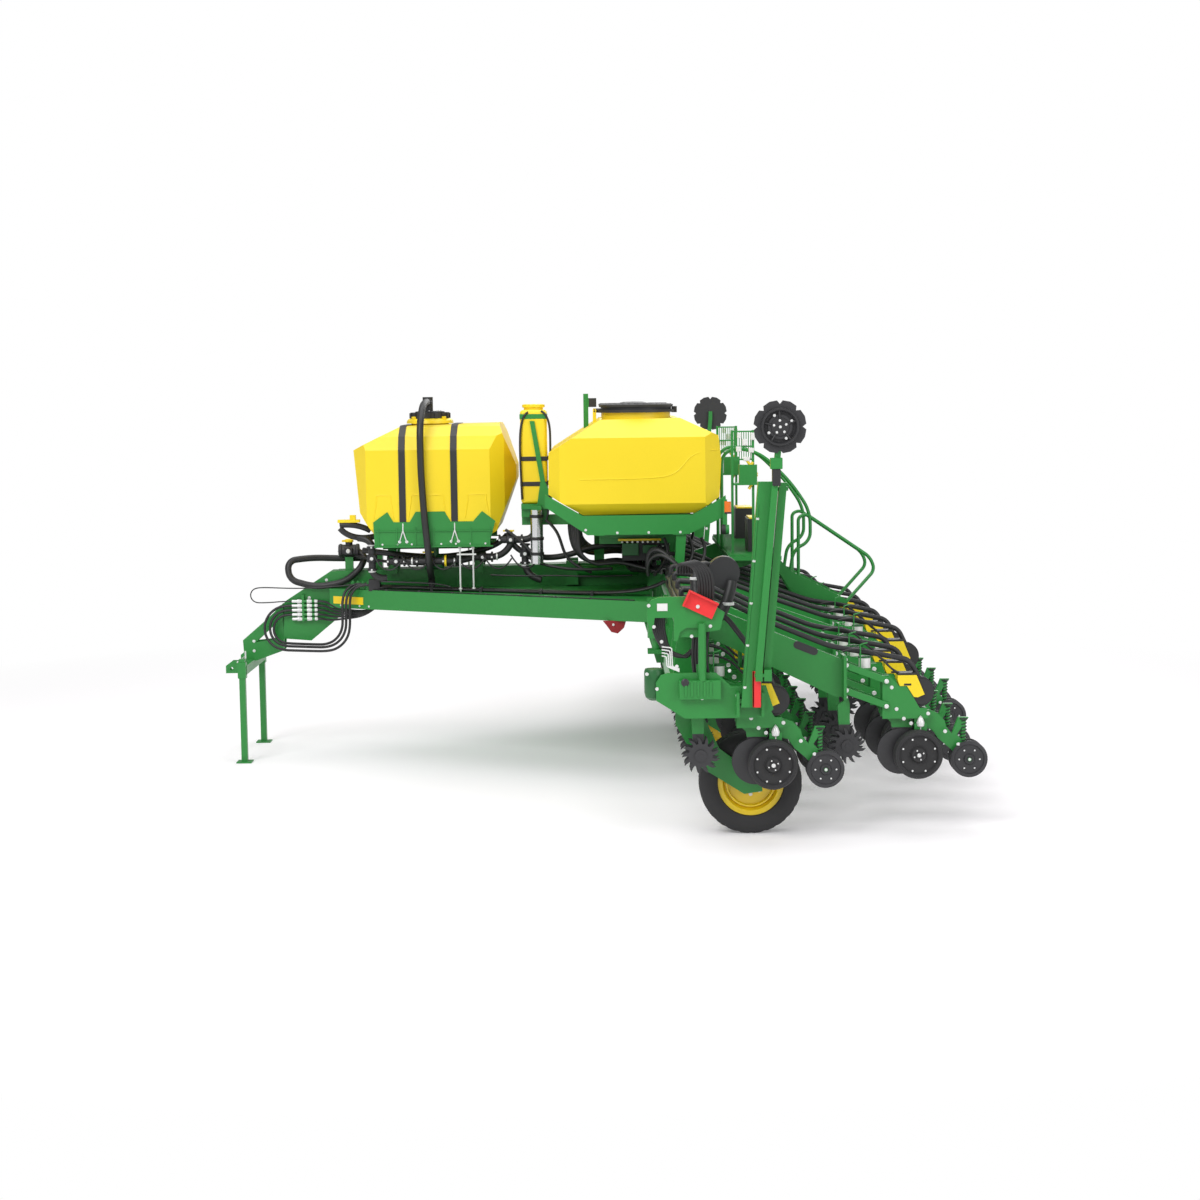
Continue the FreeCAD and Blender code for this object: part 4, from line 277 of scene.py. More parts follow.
@dataclass
class Shape:
    """Corners and faces of a mesh in the making."""

    corners: list[Vector] = field(default_factory=list)
    faces: list[list[int]] = field(default_factory=list)

    def add(self, corners: list[Vector], faces: list[list[int]]) -> None:
        """Add corners and the faces between them.

        Args:
            corners: The new corners.
            faces: The faces, counted from the first new corner.
        """
        first = len(self.corners)
        self.corners += corners
        self.faces += [[first + n for n in loop] for loop in faces]

    def box(self, low: Point, high: Point, turn: Matrix | None = None) -> None:
        """Add a box.

        Args:
            low: Its lowest corner.
            high: Its highest corner.
            turn: A turn about its own middle.
        """
        middle = (Vector(low) + Vector(high)) / 2
        half = (Vector(high) - Vector(low)) / 2
        corners = []
        for x in (-1, 1):
            for y in (-1, 1):
                for z in (-1, 1):
                    spot = Vector((x * half.x, y * half.y, z * half.z))
                    corners.append(middle + (turn @ spot if turn else spot))
        self.add(corners, [
            [0, 1, 3, 2], [4, 6, 7, 5], [0, 4, 5, 1], [2, 3, 7, 6], [0, 2, 6, 4], [1, 5, 7, 3]])

    def plate(self, outline: Outline, low: float, high: float, axis: str = "Y") -> None:
        """Add a plate with an outline of its own.

        Args:
            outline: Its corners, X and Z for a plate across Y, Y and Z across X, X and Y across Z.
            low: The lower side's place along the axis.
            high: The upper side's place along the axis.
            axis: The axis that the plate lies across.
        """
        order = {"Y": (0, 2, 1), "X": (2, 0, 1), "Z": (0, 1, 2)}[axis]
        corners = []
        for level in (low, high):
            for a, b in outline:
                spots = (a, b, level)
                turned = (level, a, b) if axis == "X" else [spots[order[k]] for k in range(3)]
                corners.append(Vector(turned))
        count = len(outline)
        faces = [list(range(count))[::-1], list(range(count, 2 * count))]
        for n in range(count):
            after = (n + 1) % count
            faces.append([n, after, count + after, count + n])
        self.add(corners, faces)

    def lathe(self, profile: Outline, centre: Point, axis: str = "Y", sides: int = 32) -> None:
        """Add a turned form.

        Args:
            profile: Radius and place along the axis of each ring; a radius of 0 closes an end.
            centre: The point that the places along the axis start from.
            axis: The axis that it turns about.
            sides: The number of flats round it.
        """
        middle = Vector(centre)
        corners: list[Vector] = []
        rings: list[list[int]] = []
        for radius, along in profile:
            ring = []
            for n in range(1 if radius == 0 else sides):
                angle = 2 * math.pi * n / sides
                a, b = radius * math.cos(angle), radius * math.sin(angle)
                spot = {"Y": (a, along, b), "X": (along, a, b), "Z": (a, b, along)}[axis]
                ring.append(len(corners))
                corners.append(middle + Vector(spot))
            rings.append(ring)
        faces = []
        for first, second in zip(rings, rings[1:]):
            for n in range(sides):
                after = (n + 1) % sides
                if len(first) == 1 and len(second) == 1:
                    continue
                if len(first) == 1:
                    faces.append([first[0], second[n], second[after]])
                elif len(second) == 1:
                    faces.append([first[n], second[0], first[after]])
                else:
                    faces.append([first[n], second[n], second[after], first[after]])
        self.add(corners, faces)

    def bar(self, start: Point, end: Point, radius: float, sides: int = 10) -> None:
        """Add a round bar between two points.

        Args:
            start: One end.
            end: The other end.
            radius: The bar's radius.
            sides: The number of flats round it.
        """
        foot, tip = Vector(start), Vector(end)
        turn = (tip - foot).to_track_quat("Z", "Y").to_matrix()
        corners = []
        for spot in (foot, tip):
            for n in range(sides):
                angle = 2 * math.pi * n / sides
                corners.append(spot + turn @ Vector((radius * math.cos(angle), radius * math.sin(angle), 0)))
        faces = [list(range(sides))[::-1], list(range(sides, 2 * sides))]
        faces += [[n, (n + 1) % sides, sides + (n + 1) % sides, sides + n] for n in range(sides)]
        self.add(corners, faces)

    def bolt(self, spot: Point, way: Point, radius: float = 0.009, height: float = 0.008) -> None:
        """Add a bolt head with its washer.

        Args:
            spot: The middle of the face that it sits on.
            way: The direction that it points.
            radius: The head's radius.
            height: The head's height.
        """
        foot, out = Vector(spot), Vector(way).normalized()
        self.bar(foot, foot + out * height * 0.3, radius * 1.45, 12)
        self.bar(foot + out * height * 0.3, foot + out * height, radius, 6)

    def box_circle(self, middle: Point, reach: float, count: int, low: Point, high: Point,
                   start: float = 0.0) -> None:
        """Add boxes evenly round an upright axis, each turned with its place.

        Args:
            middle: The circle's middle.
            reach: The circle's radius.
            count: How many boxes there are.
            low: A box's lowest corner, from its place.
            high: A box's highest corner, from its place.
            start: How far the first box is turned, in steps of the circle.
        """
        x, y, z = middle
        for n in range(count):
            angle = 2 * math.pi * (n + start) / count
            spot = Vector((x + reach * math.cos(angle), y + reach * math.sin(angle), z))
            self.box(tuple(spot + Vector(low)), tuple(spot + Vector(high)), Matrix.Rotation(angle, 3, "Z"))

    def bolt_circle(self, middle: Point, reach: float, count: int, way: Point, radius: float,
                    start: float = 0.0, height: float = 0.008) -> None:
        """Add bolt heads evenly round a circle.

        Args:
            middle: The circle's middle, on the face that the bolts sit on.
            reach: The circle's radius.
            count: How many bolts there are.
            way: The direction that they point, along one axis.
            radius: The radius of a head.
            start: How far the first bolt is turned, in steps of the circle.
            height: The height of a head.
        """
        x, y, z = middle
        for n in range(count):
            angle = 2 * math.pi * (n + start) / count
            a, b = reach * math.cos(angle), reach * math.sin(angle)
            if way[0]:
                spot = (x, y + a, z + b)
            elif way[1]:
                spot = (x + a, y, z + b)
            else:
                spot = (x + a, y + b, z)
            self.bolt(spot, way, radius, height)

    def cap(self, spot: Point, way: Point, radius: float, height: float) -> None:
        """Add a round, slightly domed cap.

        Args:
            spot: The middle of the face that it sits on.
            way: The direction that it points.
            radius: Its radius.
            height: Its height.
        """
        turn = Vector(way).to_track_quat("Z", "Y").to_matrix()
        dome = Shape()
        outline = [(radius, 0), (radius, height * 0.6), (radius * 0.7, height), (0, height)]
        dome.lathe(outline, (0, 0, 0), "Z", 16)
        self.add([Vector(spot) + turn @ corner for corner in dome.corners], dome.faces)

    def repeated(self, shifts: list[Point]) -> "Shape":
        """Give a shape with a copy of this one at each shift.

        Args:
            shifts: How far each copy is moved.

        Returns:
            The shape with every copy.
        """
        whole = Shape()
        for shift in shifts:
            whole.add([corner + Vector(shift) for corner in self.corners], self.faces)
        return whole

    def mirrored(self) -> "Shape":
        """Give this shape's mirror image across the middle plane."""
        flipped = [Vector((corner.x, -corner.y, corner.z)) for corner in self.corners]
        return Shape(flipped, [loop[::-1] for loop in self.faces])

    def both(self) -> "Shape":
        """Give this shape with its mirror image.

        Returns:
            The shape of both sides.
        """
        whole = self.repeated([(0, 0, 0)])
        other = self.mirrored()
        whole.add(other.corners, other.faces)
        return whole


@dataclass
class Fitting:
    """A trim piece: its name, finish, the body that it rides on and a slot name, which is not used."""

    name: str
    finish: Finish
    body: str
    slot: str
    zones: tuple[Zone, ...] = ()

    def fit(self, shape: Shape, soften: float = 0.0, crease: float = 35.0) -> bpy.types.Object:
        """Turn a shape into a piece that rides on its body.

        Args:
            shape: The shape of the piece.
            soften: How far to round its edges, in metres.
            crease: The angle above which an edge stays sharp, in degrees.

        Returns:
            The new piece.
        """
        mesh = bpy.data.meshes.new(self.name)
        mesh.from_pydata([tuple(corner) for corner in shape.corners], [], shape.faces)
        work = bmesh.new()
        work.from_mesh(mesh)
        bmesh.ops.recalc_face_normals(work, faces=work.faces)
        work.to_mesh(mesh)
        work.free()
        mesh.validate()
        for face in mesh.polygons:
            face.use_smooth = True
        mesh.set_sharp_from_angle(angle=math.radians(crease))
        piece = bpy.data.objects.new(self.name, mesh)
        bpy.context.scene.collection.objects.link(piece)
        if soften:
            bevel = piece.modifiers.new("soft_edges", "BEVEL")
            bevel.width = soften
            bevel.segments = 2
            bevel.limit_method = "ANGLE"
            bevel.harden_normals = True
        return self.settle(piece)

    def run(self, routes: list[list[Point]], radius: float, order: int = 4) -> bpy.types.Object:
        """Lay hoses or bent bars along routes, as one piece.

        Each point holds the radius in metres and the bevel is 1, so that the piece's bounds are true.

        Args:
            routes: The points of each route.
            radius: The radius of the section.
            order: The smoothness of the line; 2 keeps straight runs.

        Returns:
            The new piece.
        """
        curve = bpy.data.curves.new(self.name, "CURVE")
        curve.dimensions = "3D"
        curve.bevel_depth = 1.0
        curve.bevel_resolution = 3
        curve.resolution_u = 6
        curve.use_fill_caps = True
        for route in routes:
            spline = curve.splines.new("NURBS")
            spline.points.add(len(route) - 1)
            for spot, point in zip(route, spline.points):
                point.co = (*spot, 1.0)
                point.radius = radius
            spline.order_u = min(order, len(route))
            spline.use_endpoint_u = True
        piece = bpy.data.objects.new(self.name, curve)
        bpy.context.scene.collection.objects.link(piece)
        return self.settle(piece)

    def settle(self, piece: bpy.types.Object) -> bpy.types.Object:
        """Give a piece its material and the body that it rides on.

        Args:
            piece: The piece.

        Returns:
            The same piece, riding on its body.
        """
        piece.data.materials.append(SHOP.material(self.finish, self.zones))
        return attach(piece, self.body)


def repaint(node: str, finish: Finish, zones: tuple[Zone, ...] = ()) -> None:
    """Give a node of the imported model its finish.

    Args:
        node: The node's name.
        finish: The finish of most of it.
        zones: The places on it with another finish.
    """
    material = SHOP.material(finish, zones)
    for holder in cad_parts[node].material_slots:
        holder.material = material


# Studio


@dataclass(frozen=True)
class Lamp:
    """One square lamp: where it hangs, the length of its side in metres and its watts."""

    name: str
    place: Point
    size: float
    power: float


@dataclass
class Studio:
    """The floor, the lights, the world and the camera.

    The floor fades to white between fade_from and fade_to, in metres from the middle.
    """

    floor_radius: float = 90.0
    floor_colour: Point = (0.87, 0.85, 0.87)
    floor_glow: float = 0.16
    fade_from: float = 5.5
    fade_to: float = 11.0
    lamps: tuple[Lamp, ...] = (
        Lamp("key_lamp", (-6.5, -13.0, 12.0), 9.0, 1520.0),
        Lamp("fill_lamp", (11.0, -12.0, 7.0), 9.0, 680.0),
        Lamp("top_lamp", (0.0, 1.0, 14.0), 14.0, 1150.0),
        Lamp("rear_lamp", (3.0, 14.0, 9.0), 9.0, 600.0),
    )
    lamp_target: Point = (0.0, 0.0, 1.2)
    world_strength: float = 0.34
    camera_place: Point = (0.153, -21.2, 3.657)
    pitch_down: float = 5.74
    roll: float = 0.74
    lens: float = 62.4
    sensor_width: float = 36.0
    shift: float = 0.0021

    def build(self) -> None:
        """Make the whole studio."""
        self.lay_floor()
        self.hang_lights()
        self.light_world()
        self.set_camera()
        LOG.info("studio ready")

    def lay_floor(self) -> None:
        """Lay a pale floor that keeps the planter's shadow."""
        disc = Shape()
        disc.lathe([(self.floor_radius, 0), (0, 0)], (0, 0, cad_low.z - 0.001), "Z", 96)
        mesh = bpy.data.meshes.new("floor")
        mesh.from_pydata([tuple(corner) for corner in disc.corners], [], disc.faces)
        floor = bpy.data.objects.new("floor", mesh)
        bpy.context.scene.collection.objects.link(floor)
        material = bpy.data.materials.new("floor")
        material.use_nodes = True
        material.node_tree.nodes.clear()
        tree = NodeTree(material)
        matt = tree.node("ShaderNodeBsdfDiffuse", {"Color": (*self.floor_colour, 1.0)})
        glow = tree.node("ShaderNodeEmission", {"Color": PURE_WHITE, "Strength": self.floor_glow})
        white = tree.node("ShaderNodeEmission", {"Color": PURE_WHITE, "Strength": 1.0})
        both = tree.node("ShaderNodeAddShader", {0: matt.outputs[0], 1: glow.outputs[0]})
        away = tree.node("ShaderNodeVectorMath", {0: tree.node("ShaderNodeTexCoord").outputs["Object"]},
                         operation="LENGTH").outputs["Value"]
        far = tree.node(
            "ShaderNodeMapRange", {"Value": away, "From Min": self.fade_from, "From Max": self.fade_to})
        faded = tree.node("ShaderNodeMixShader", {0: far.outputs[0], 1: both.outputs[0], 2: white.outputs[0]})
        seen = self.seen_directly(tree)
        shown = tree.node("ShaderNodeMixShader", {0: seen, 1: matt.outputs[0], 2: faded.outputs[0]})
        tree.node("ShaderNodeOutputMaterial", {0: shown.outputs[0]})
        mesh.materials.append(material)

    def seen_directly(self, tree: NodeTree) -> bpy.types.NodeSocket:
        """Give a socket that is 1 for camera, glossy and transmission rays.

        Args:
            tree: The floor's nodes.

        Returns:
            The socket.
        """
        path = tree.node("ShaderNodeLightPath").outputs
        first = tree.math("MAXIMUM", path["Is Camera Ray"], path["Is Glossy Ray"])
        return tree.math("MAXIMUM", first, path["Is Transmission Ray"])

    def hang_lights(self) -> None:
        """Hang two lamps in front of the planter, one over it and one behind it."""
        for lamp in self.lamps:
            light = bpy.data.lights.new(lamp.name, "AREA")
            light.size = lamp.size
            light.energy = lamp.power
            holder = bpy.data.objects.new(lamp.name, light)
            holder.location = lamp.place
            holder.rotation_mode = "QUATERNION"
            aim = Vector(self.lamp_target) - Vector(lamp.place)
            holder.rotation_quaternion = aim.to_track_quat("-Z", "Y")
            bpy.context.scene.collection.objects.link(holder)

    def light_world(self) -> None:
        """Fill the world with soft light behind a white background."""
        world = bpy.data.worlds.new("studio")
        bpy.context.scene.world = world
        world.use_nodes = True
        world.node_tree.nodes.clear()
        tree = NodeTree(world)
        soft = tree.node("ShaderNodeBackground", {0: PURE_WHITE, 1: self.world_strength})
        white = tree.node("ShaderNodeBackground", {0: PURE_WHITE, 1: 1.0})
        path = tree.node("ShaderNodeLightPath").outputs
        seen = tree.math("MAXIMUM", path["Is Camera Ray"], path["Is Transmission Ray"])
        shown = tree.node("ShaderNodeMixShader", {0: seen, 1: soft.outputs[0], 2: white.outputs[0]})
        tree.node("ShaderNodeOutputWorld", {0: shown.outputs[0]})

    def set_camera(self) -> None:
        """Set the camera where the planter is seen from its left side."""
        data = bpy.data.cameras.new("camera")
        data.sensor_width = self.sensor_width
        data.lens = self.lens
        data.shift_x = self.shift
        camera = bpy.data.objects.new("camera", data)
        down = Matrix.Rotation(math.radians(90.0 - self.pitch_down), 4, "X")
        lean = Matrix.Rotation(math.radians(-self.roll), 4, "Z")
        camera.matrix_world = Matrix.Translation(self.camera_place) @ down @ lean
        bpy.context.scene.collection.objects.link(camera)
        bpy.context.scene.camera = camera
        bpy.context.scene.view_settings.view_transform = "Standard"


# Hitch hoses

HOSE_ROUTES = [
    [
        (-2950.3, -175, 1525), (-3056, -175, 1525), (-3152, -180, 1478), (-3216, -196, 1394),
        (-3234, -218, 1290), (-3201, -247, 1190), (-3124, -280, 1118), (-3023, -316, 1089),
        (-2917, -352, 1089), (-2811, -386, 1089), (-2704, -418, 1089), (-2598, -445, 1089),
        (-2494, -465, 1104), (-2405, -476, 1161), (-2347, -478, 1249), (-2330, -478, 1353),
        (-2330, -471, 1459), (-2330, -459, 1566), (-2316, -447, 1670), (-2240, -442, 1752),
        (-2135.3, -442, 1752),
    ],
    [
        (-2950.3, -175, 1480), (-3052, -175, 1480), (-3138, -182, 1421), (-3181, -198, 1329),
        (-3167, -223, 1229), (-3100, -254, 1153), (-3003, -290, 1126), (-2900, -327, 1126),
        (-2798, -364, 1126), (-2695, -399, 1126), (-2593, -429, 1126), (-2494, -453, 1152),
        (-2416, -469, 1217), (-2373, -474, 1309), (-2367, -474, 1412), (-2367, -464, 1514),
        (-2367, -439, 1617), (-2328, -414, 1709), (-2238, -401, 1755), (-2135.3, -401, 1755),
    ],
    [
        (-2950.3, -175, 1435), (-3041, -175, 1435), (-3116, -180, 1381), (-3146, -195, 1297),
        (-3121, -217, 1212), (-3049, -244, 1158), (-2959, -276, 1151), (-2868, -310, 1151),
        (-2777, -345, 1151), (-2686, -378, 1151), (-2595, -408, 1153), (-2510, -434, 1183),
        (-2444, -453, 1245), (-2408, -464, 1328), (-2404, -466, 1419), (-2404, -465, 1510),
        (-2404, -445, 1601), (-2383, -409, 1688), (-2316, -375, 1746), (-2226, -360, 1758),
        (-2135.3, -360, 1758),
    ],
]
CABLE_ROUTE = [
    (-2950.3, -175, 1570), (-3050, -175, 1570), (-3150, -183, 1563), (-3235, -195, 1561),
    (-3316, -207, 1564), (-3360, -216, 1608), (-3360, -226, 1670), (-3316, -236, 1714),
    (-3230, -246, 1722), (-3110, -258, 1718), (-2960, -272, 1712), (-2800, -288, 1712),
    (-2640, -304, 1718), (-2480, -318, 1730), (-2330, -327, 1744), (-2220, -329, 1750),
    (-2135.3, -329, 1750),
]


def in_metres(route: list[Point]) -> list[Point]:
    """Give a route in metres."""
    return [tuple(value / 1000 for value in spot) for spot in route]


def mirrored(routes: list[list[Point]]) -> list[list[Point]]:
    """Give the mirror images of routes across the middle plane.

    Args:
        routes: The points of each route.

    Returns:
        The mirrored routes, in the same order.
    """
    return [[(x, -y, z) for x, y, z in route] for route in routes]


@dataclass
class HitchHoses:
    """The hoses and the cable that hang between the nose's couplers and the rail."""

    hose_diameter: float = 0.026
    cable_diameter: float = 0.012
    hose_lengths: tuple[float, ...] = (2.138, 1.963, 1.846)
    cable_length: float = 1.733

    def build(self) -> None:
        """Hang the three hoses and the cable."""
        for n, route in enumerate(HOSE_ROUTES):
            self.hang(f"hanging_hose_{n}", f"hitch_hose_{n}", route, self.hose_diameter)
        self.hang("hanging_cable", "hitch_cable", CABLE_ROUTE, self.cable_diameter)
        LOG.info("hitch hoses hung")

    def hang(self, name: str, node: str, route: list[Point], diameter: float) -> None:
        """Hang one hose along its route.

        Args:
            name: The piece's name.
            node: The node that it stands for.
            route: The route's points in millimetres.
            diameter: The hose's diameter in metres.
        """
        points = in_metres(route)
        fitting = Fitting(name, HOSE, "frame", "black_hose")
        hose = fitting.run([points], diameter / 2, order=3)
        hose.data.bevel_resolution = 4
        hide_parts(node)


# Dressing of the nodes

SECTIONS = ("left", "centre", "right")
FRONT_ROWS = {"left": (-6, -5, -4, -3), "centre": (-2, -1, 0, 1, 2), "right": (3, 4, 5)}
REAR_ROWS = {
    "left": (-5.5, -4.5, -3.5),
    "centre": (-2.5, -1.5, -0.5, 0.5, 1.5, 2.5),
    "right": (3.5, 4.5, 5.5),
}
FRONT_FACE = 0.937
REAR_FACES = {"left": 2.163, "centre": 2.392, "right": 2.163}


def row_spots(word: str) -> list[Point]:
    """Give where each row unit of a section hangs: the bar's face, the row's Y and height 0."""
    front = [(FRONT_FACE, row * PITCH, 0.0) for row in FRONT_ROWS[word]]
    return front + [(REAR_FACES[word], row * PITCH, 0.0) for row in REAR_ROWS[word]]


def row_body(word: str, kind: str, row: str) -> str:
    """Give the body that carries a section's small wheels."""
    return f"{word}_{row}_{kind}_wheels"


def section_body(word: str) -> str:
    """Give the body that carries a section's row units."""
    return "frame" if word == "centre" else f"{word}_wing"


def row_zones(face: float, start: float) -> tuple[Zone, ...]:
    """Give the zones of the row units that hang behind one bar face.

    Args:
        face: The X of the bar's face.
        start: The Y of one of the rows.

    Returns:
        The zones of the discs, cleaners and actuator pods.
    """
    return (
        Zone(CHARCOAL, (face + 0.28, -0.042, 0.455), (face + 0.675, 0.042, 0.86), PITCH, start),
        Zone(CHARCOAL, (face - 0.14, -0.13, 0.55), (face + 0.2, 0.13, 0.89), PITCH, start),
        Zone(WHITE, (face + 0.13, -0.06, 1.36), (face + 0.24, 0.06, 1.46), PITCH, start),
    )


def meter_zones(face: float, start: float) -> tuple[Zone, ...]:
    """Give the yellow zones of the seed meters that stand behind one bar face.

    Args:
        face: The X of the bar's face.
        start: The Y of one of the rows.

    Returns:
        The zones of the covers.
    """
    return (
        Zone(YELLOW_POLY, (face + 0.43, -0.0765, 1.105), (face + 0.604, 0.0765, 1.302), PITCH, start),
        Zone(YELLOW_POLY, (face + 0.6, 0.0405, 1.105), (face + 0.675, 0.0765, 1.302), PITCH, start),
        Zone(YELLOW_POLY, (face + 0.6, -0.0765, 1.105), (face + 0.675, -0.0405, 1.302), PITCH, start),
    )


@dataclass
class Surface:
    """The surface of one node, for laying trim on it."""

    node: str
    tree: BVHTree = field(init=False)

    def __post_init__(self) -> None:
        """Read the node's faces."""
        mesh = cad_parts[self.node].data
        faces = [list(face.vertices) for face in mesh.polygons]
        self.tree = BVHTree.FromPolygons([corner.co for corner in mesh.vertices], faces)

    def hit(self, start: Point, way: Point, clear: float = 0.0) -> Vector | None:
        """Find where a line meets the surface.

        Args:
            start: Where the line starts.
            way: Its direction.
            clear: How far before the surface to stop.

        Returns:
            The point, or None where the line passes by.
        """
        found = self.tree.ray_cast(Vector(start), Vector(way).normalized())[0]
        return None if found is None else found - Vector(way).normalized() * clear

    def band(self, x: float, centre: tuple[float, float], low: float, proud: float) -> list[Point]:
        """Follow the outside of the node in the plane across X.

        Args:
            x: The plane's X.
            centre: The Y and Z that the line goes round.
            low: The Z below which it stops.
            proud: How far outside the surface it lies.

        Returns:
            The line's points from the low left side over the top.
        """
        points = []
        for n in range(0, 361, 2):
            angle = math.radians(-90 - n)
            way = Vector((0.0, -math.cos(angle), -math.sin(angle)))
            spot = self.hit((x, centre[0] - 3 * way.y, centre[1] - 3 * way.z), way, proud)
            if spot and spot.z > low:
                points.append((spot.x, spot.y, spot.z))
        return points


def ribbon(points: list[Point], width: float, thickness: float) -> Shape:
    """Give a strap along points that lie in a plane across X.

    Args:
        points: The strap's line.
        width: Its width along X.
        thickness: How thick it is, inwards from the line.

    Returns:
        The strap's shape.
    """
    middle = sum((Vector(p) for p in points), Vector()) / len(points)
    strap = Shape()
    corners: list[Vector] = []
    for point in points:
        spot = Vector(point)
        inward = (Vector((spot.x, middle.y, middle.z)) - spot).normalized() * thickness
        for across, deep in ((-1, 0), (1, 0), (1, 1), (-1, 1)):
            corners.append(spot + Vector((across * width / 2, 0, 0)) + inward * deep)
    faces = [[0, 1, 2, 3], [len(corners) - 1, len(corners) - 2, len(corners) - 3, len(corners) - 4]]
    for n in range(len(points) - 1):
        for k in range(4):
            a, b = 4 * n + k, 4 * n + (k + 1) % 4
            faces.append([a, b, b + 4, a + 4])
    strap.add(corners, faces)
    return strap


@dataclass
class NodeFinishes:
    """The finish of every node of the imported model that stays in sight."""

    def build(self) -> None:
        """Give every node its finish."""
        self.paint_frame()
        self.paint_tanks()
        self.paint_rows()
        self.paint_wings()
        LOG.info("nodes finished")

    def paint_frame(self) -> None:
        """Finish the tongue, hitch, stand legs, hopper frame and platform."""
        repaint("tongue", GREEN, (
            Zone(STEEL, (0.573, 0.17, 1.82), (0.82, 0.235, 1.88), mirrored=True),
            Zone(ZINC, (-3.0, -0.21, 1.36), (-2.853, -0.14, 1.6)),
            Zone(BLACK, (-2.14, 0.31, 1.69), (-2.02, 0.47, 1.81), mirrored=True),
            Zone(CHARCOAL, (-2.48, -0.125, 2.04), (-2.26, 0.005, 2.18)),
        ))
        repaint("hitch_bar", GREEN, (Zone(ZINC, (-3.46, -0.6, 0.8), (-3.443, 0.6, 1.06)),))
        for side in Side:
            repaint(f"stand_leg_{side.word}", GREEN)
        repaint("hopper_frame", GREEN, (
            Zone(AMBER, (1.37, 1.42, 2.49), (1.44, 1.49, 2.6), mirrored=True),
            Zone(BLACK, (1.27, 1.4, 2.28), (1.38, 1.51, 2.38), mirrored=True),
            Zone(BLACK, (0.4, 0.5, 2.0), (0.77, 1.0, 2.2), mirrored=True),
            Zone(BLACK, (0.09, -0.05, 3.49), (0.22, 0.05, 3.6)),
        ))
        repaint("platform", GREEN, (Zone(BLACK, (1.61, 0.68, 2.071), (1.82, 1.12, 2.41), mirrored=True),))
        repaint("centre_toolbar", GREEN, (Zone(HOSE, (0.79, -2.0, 1.887), (0.9, 2.0, 1.97)),))

    def paint_tanks(self) -> None:
        """Finish the tanks, the hoppers and what is fixed on them."""
        repaint("front_tank", YELLOW_POLY)
        repaint("tank_lid", BLACK)
        repaint("tank_cradle", GREEN)
        repaint("tank_plumbing", HOSE)
        repaint("slim_tank", YELLOW_POLY)
        repaint("filter_drum", STEEL)
        repaint("seed_hoppers", YELLOW_POLY)
        for side in Side:
            repaint(f"hopper_lid_{side.word}", BLACK)

    def paint_rows(self) -> None:
        """Finish the row units, seed meters and small wheels."""
        for word in SECTIONS:
            rear = REAR_FACES[word]
            zones = row_zones(FRONT_FACE, 0.0) + row_zones(rear, PITCH / 2)
            repaint(f"row_units_{word}", GREEN, zones)
            covers = meter_zones(FRONT_FACE, 0.0) + meter_zones(rear, PITCH / 2)
            repaint(f"seed_meters_{word}", BLACK, covers)
            for row in ("front", "rear"):
                repaint(f"gauge_wheels_{word}_{row}", RUBBER)
                repaint(f"closing_wheels_{word}_{row}", CHARCOAL)

    def paint_wings(self) -> None:
        """Finish the wing bars, the transport wheels and the markers."""
        for side in Side:
            word = side.word
            repaint(f"wing_toolbar_{word}", GREEN, (
                Zone(HOSE, (0.79, 2.1, 1.887), (0.9, 4.66, 1.97), mirrored=True),
                Zone(RED, (0.81, 4.7255, 1.82), (1.13, 4.76, 2.09), mirrored=True),
                Zone(CHARCOAL, (1.04, 4.28, 2.03), (1.33, 4.44, 2.33), mirrored=True),
            ))
            for place in ("wing", "centre"):
                repaint(f"tyre_{place}_{word}", RUBBER)
                repaint(f"rim_{place}_{word}", YELLOW)
            for part, finish in (
                    ("inner", GREEN), ("middle", GREEN), ("outer", GREEN),
                    ("disc", CHARCOAL), ("barrel", BLACK), ("rod", STEEL)):
                repaint(f"marker_{part}_{word}", finish)


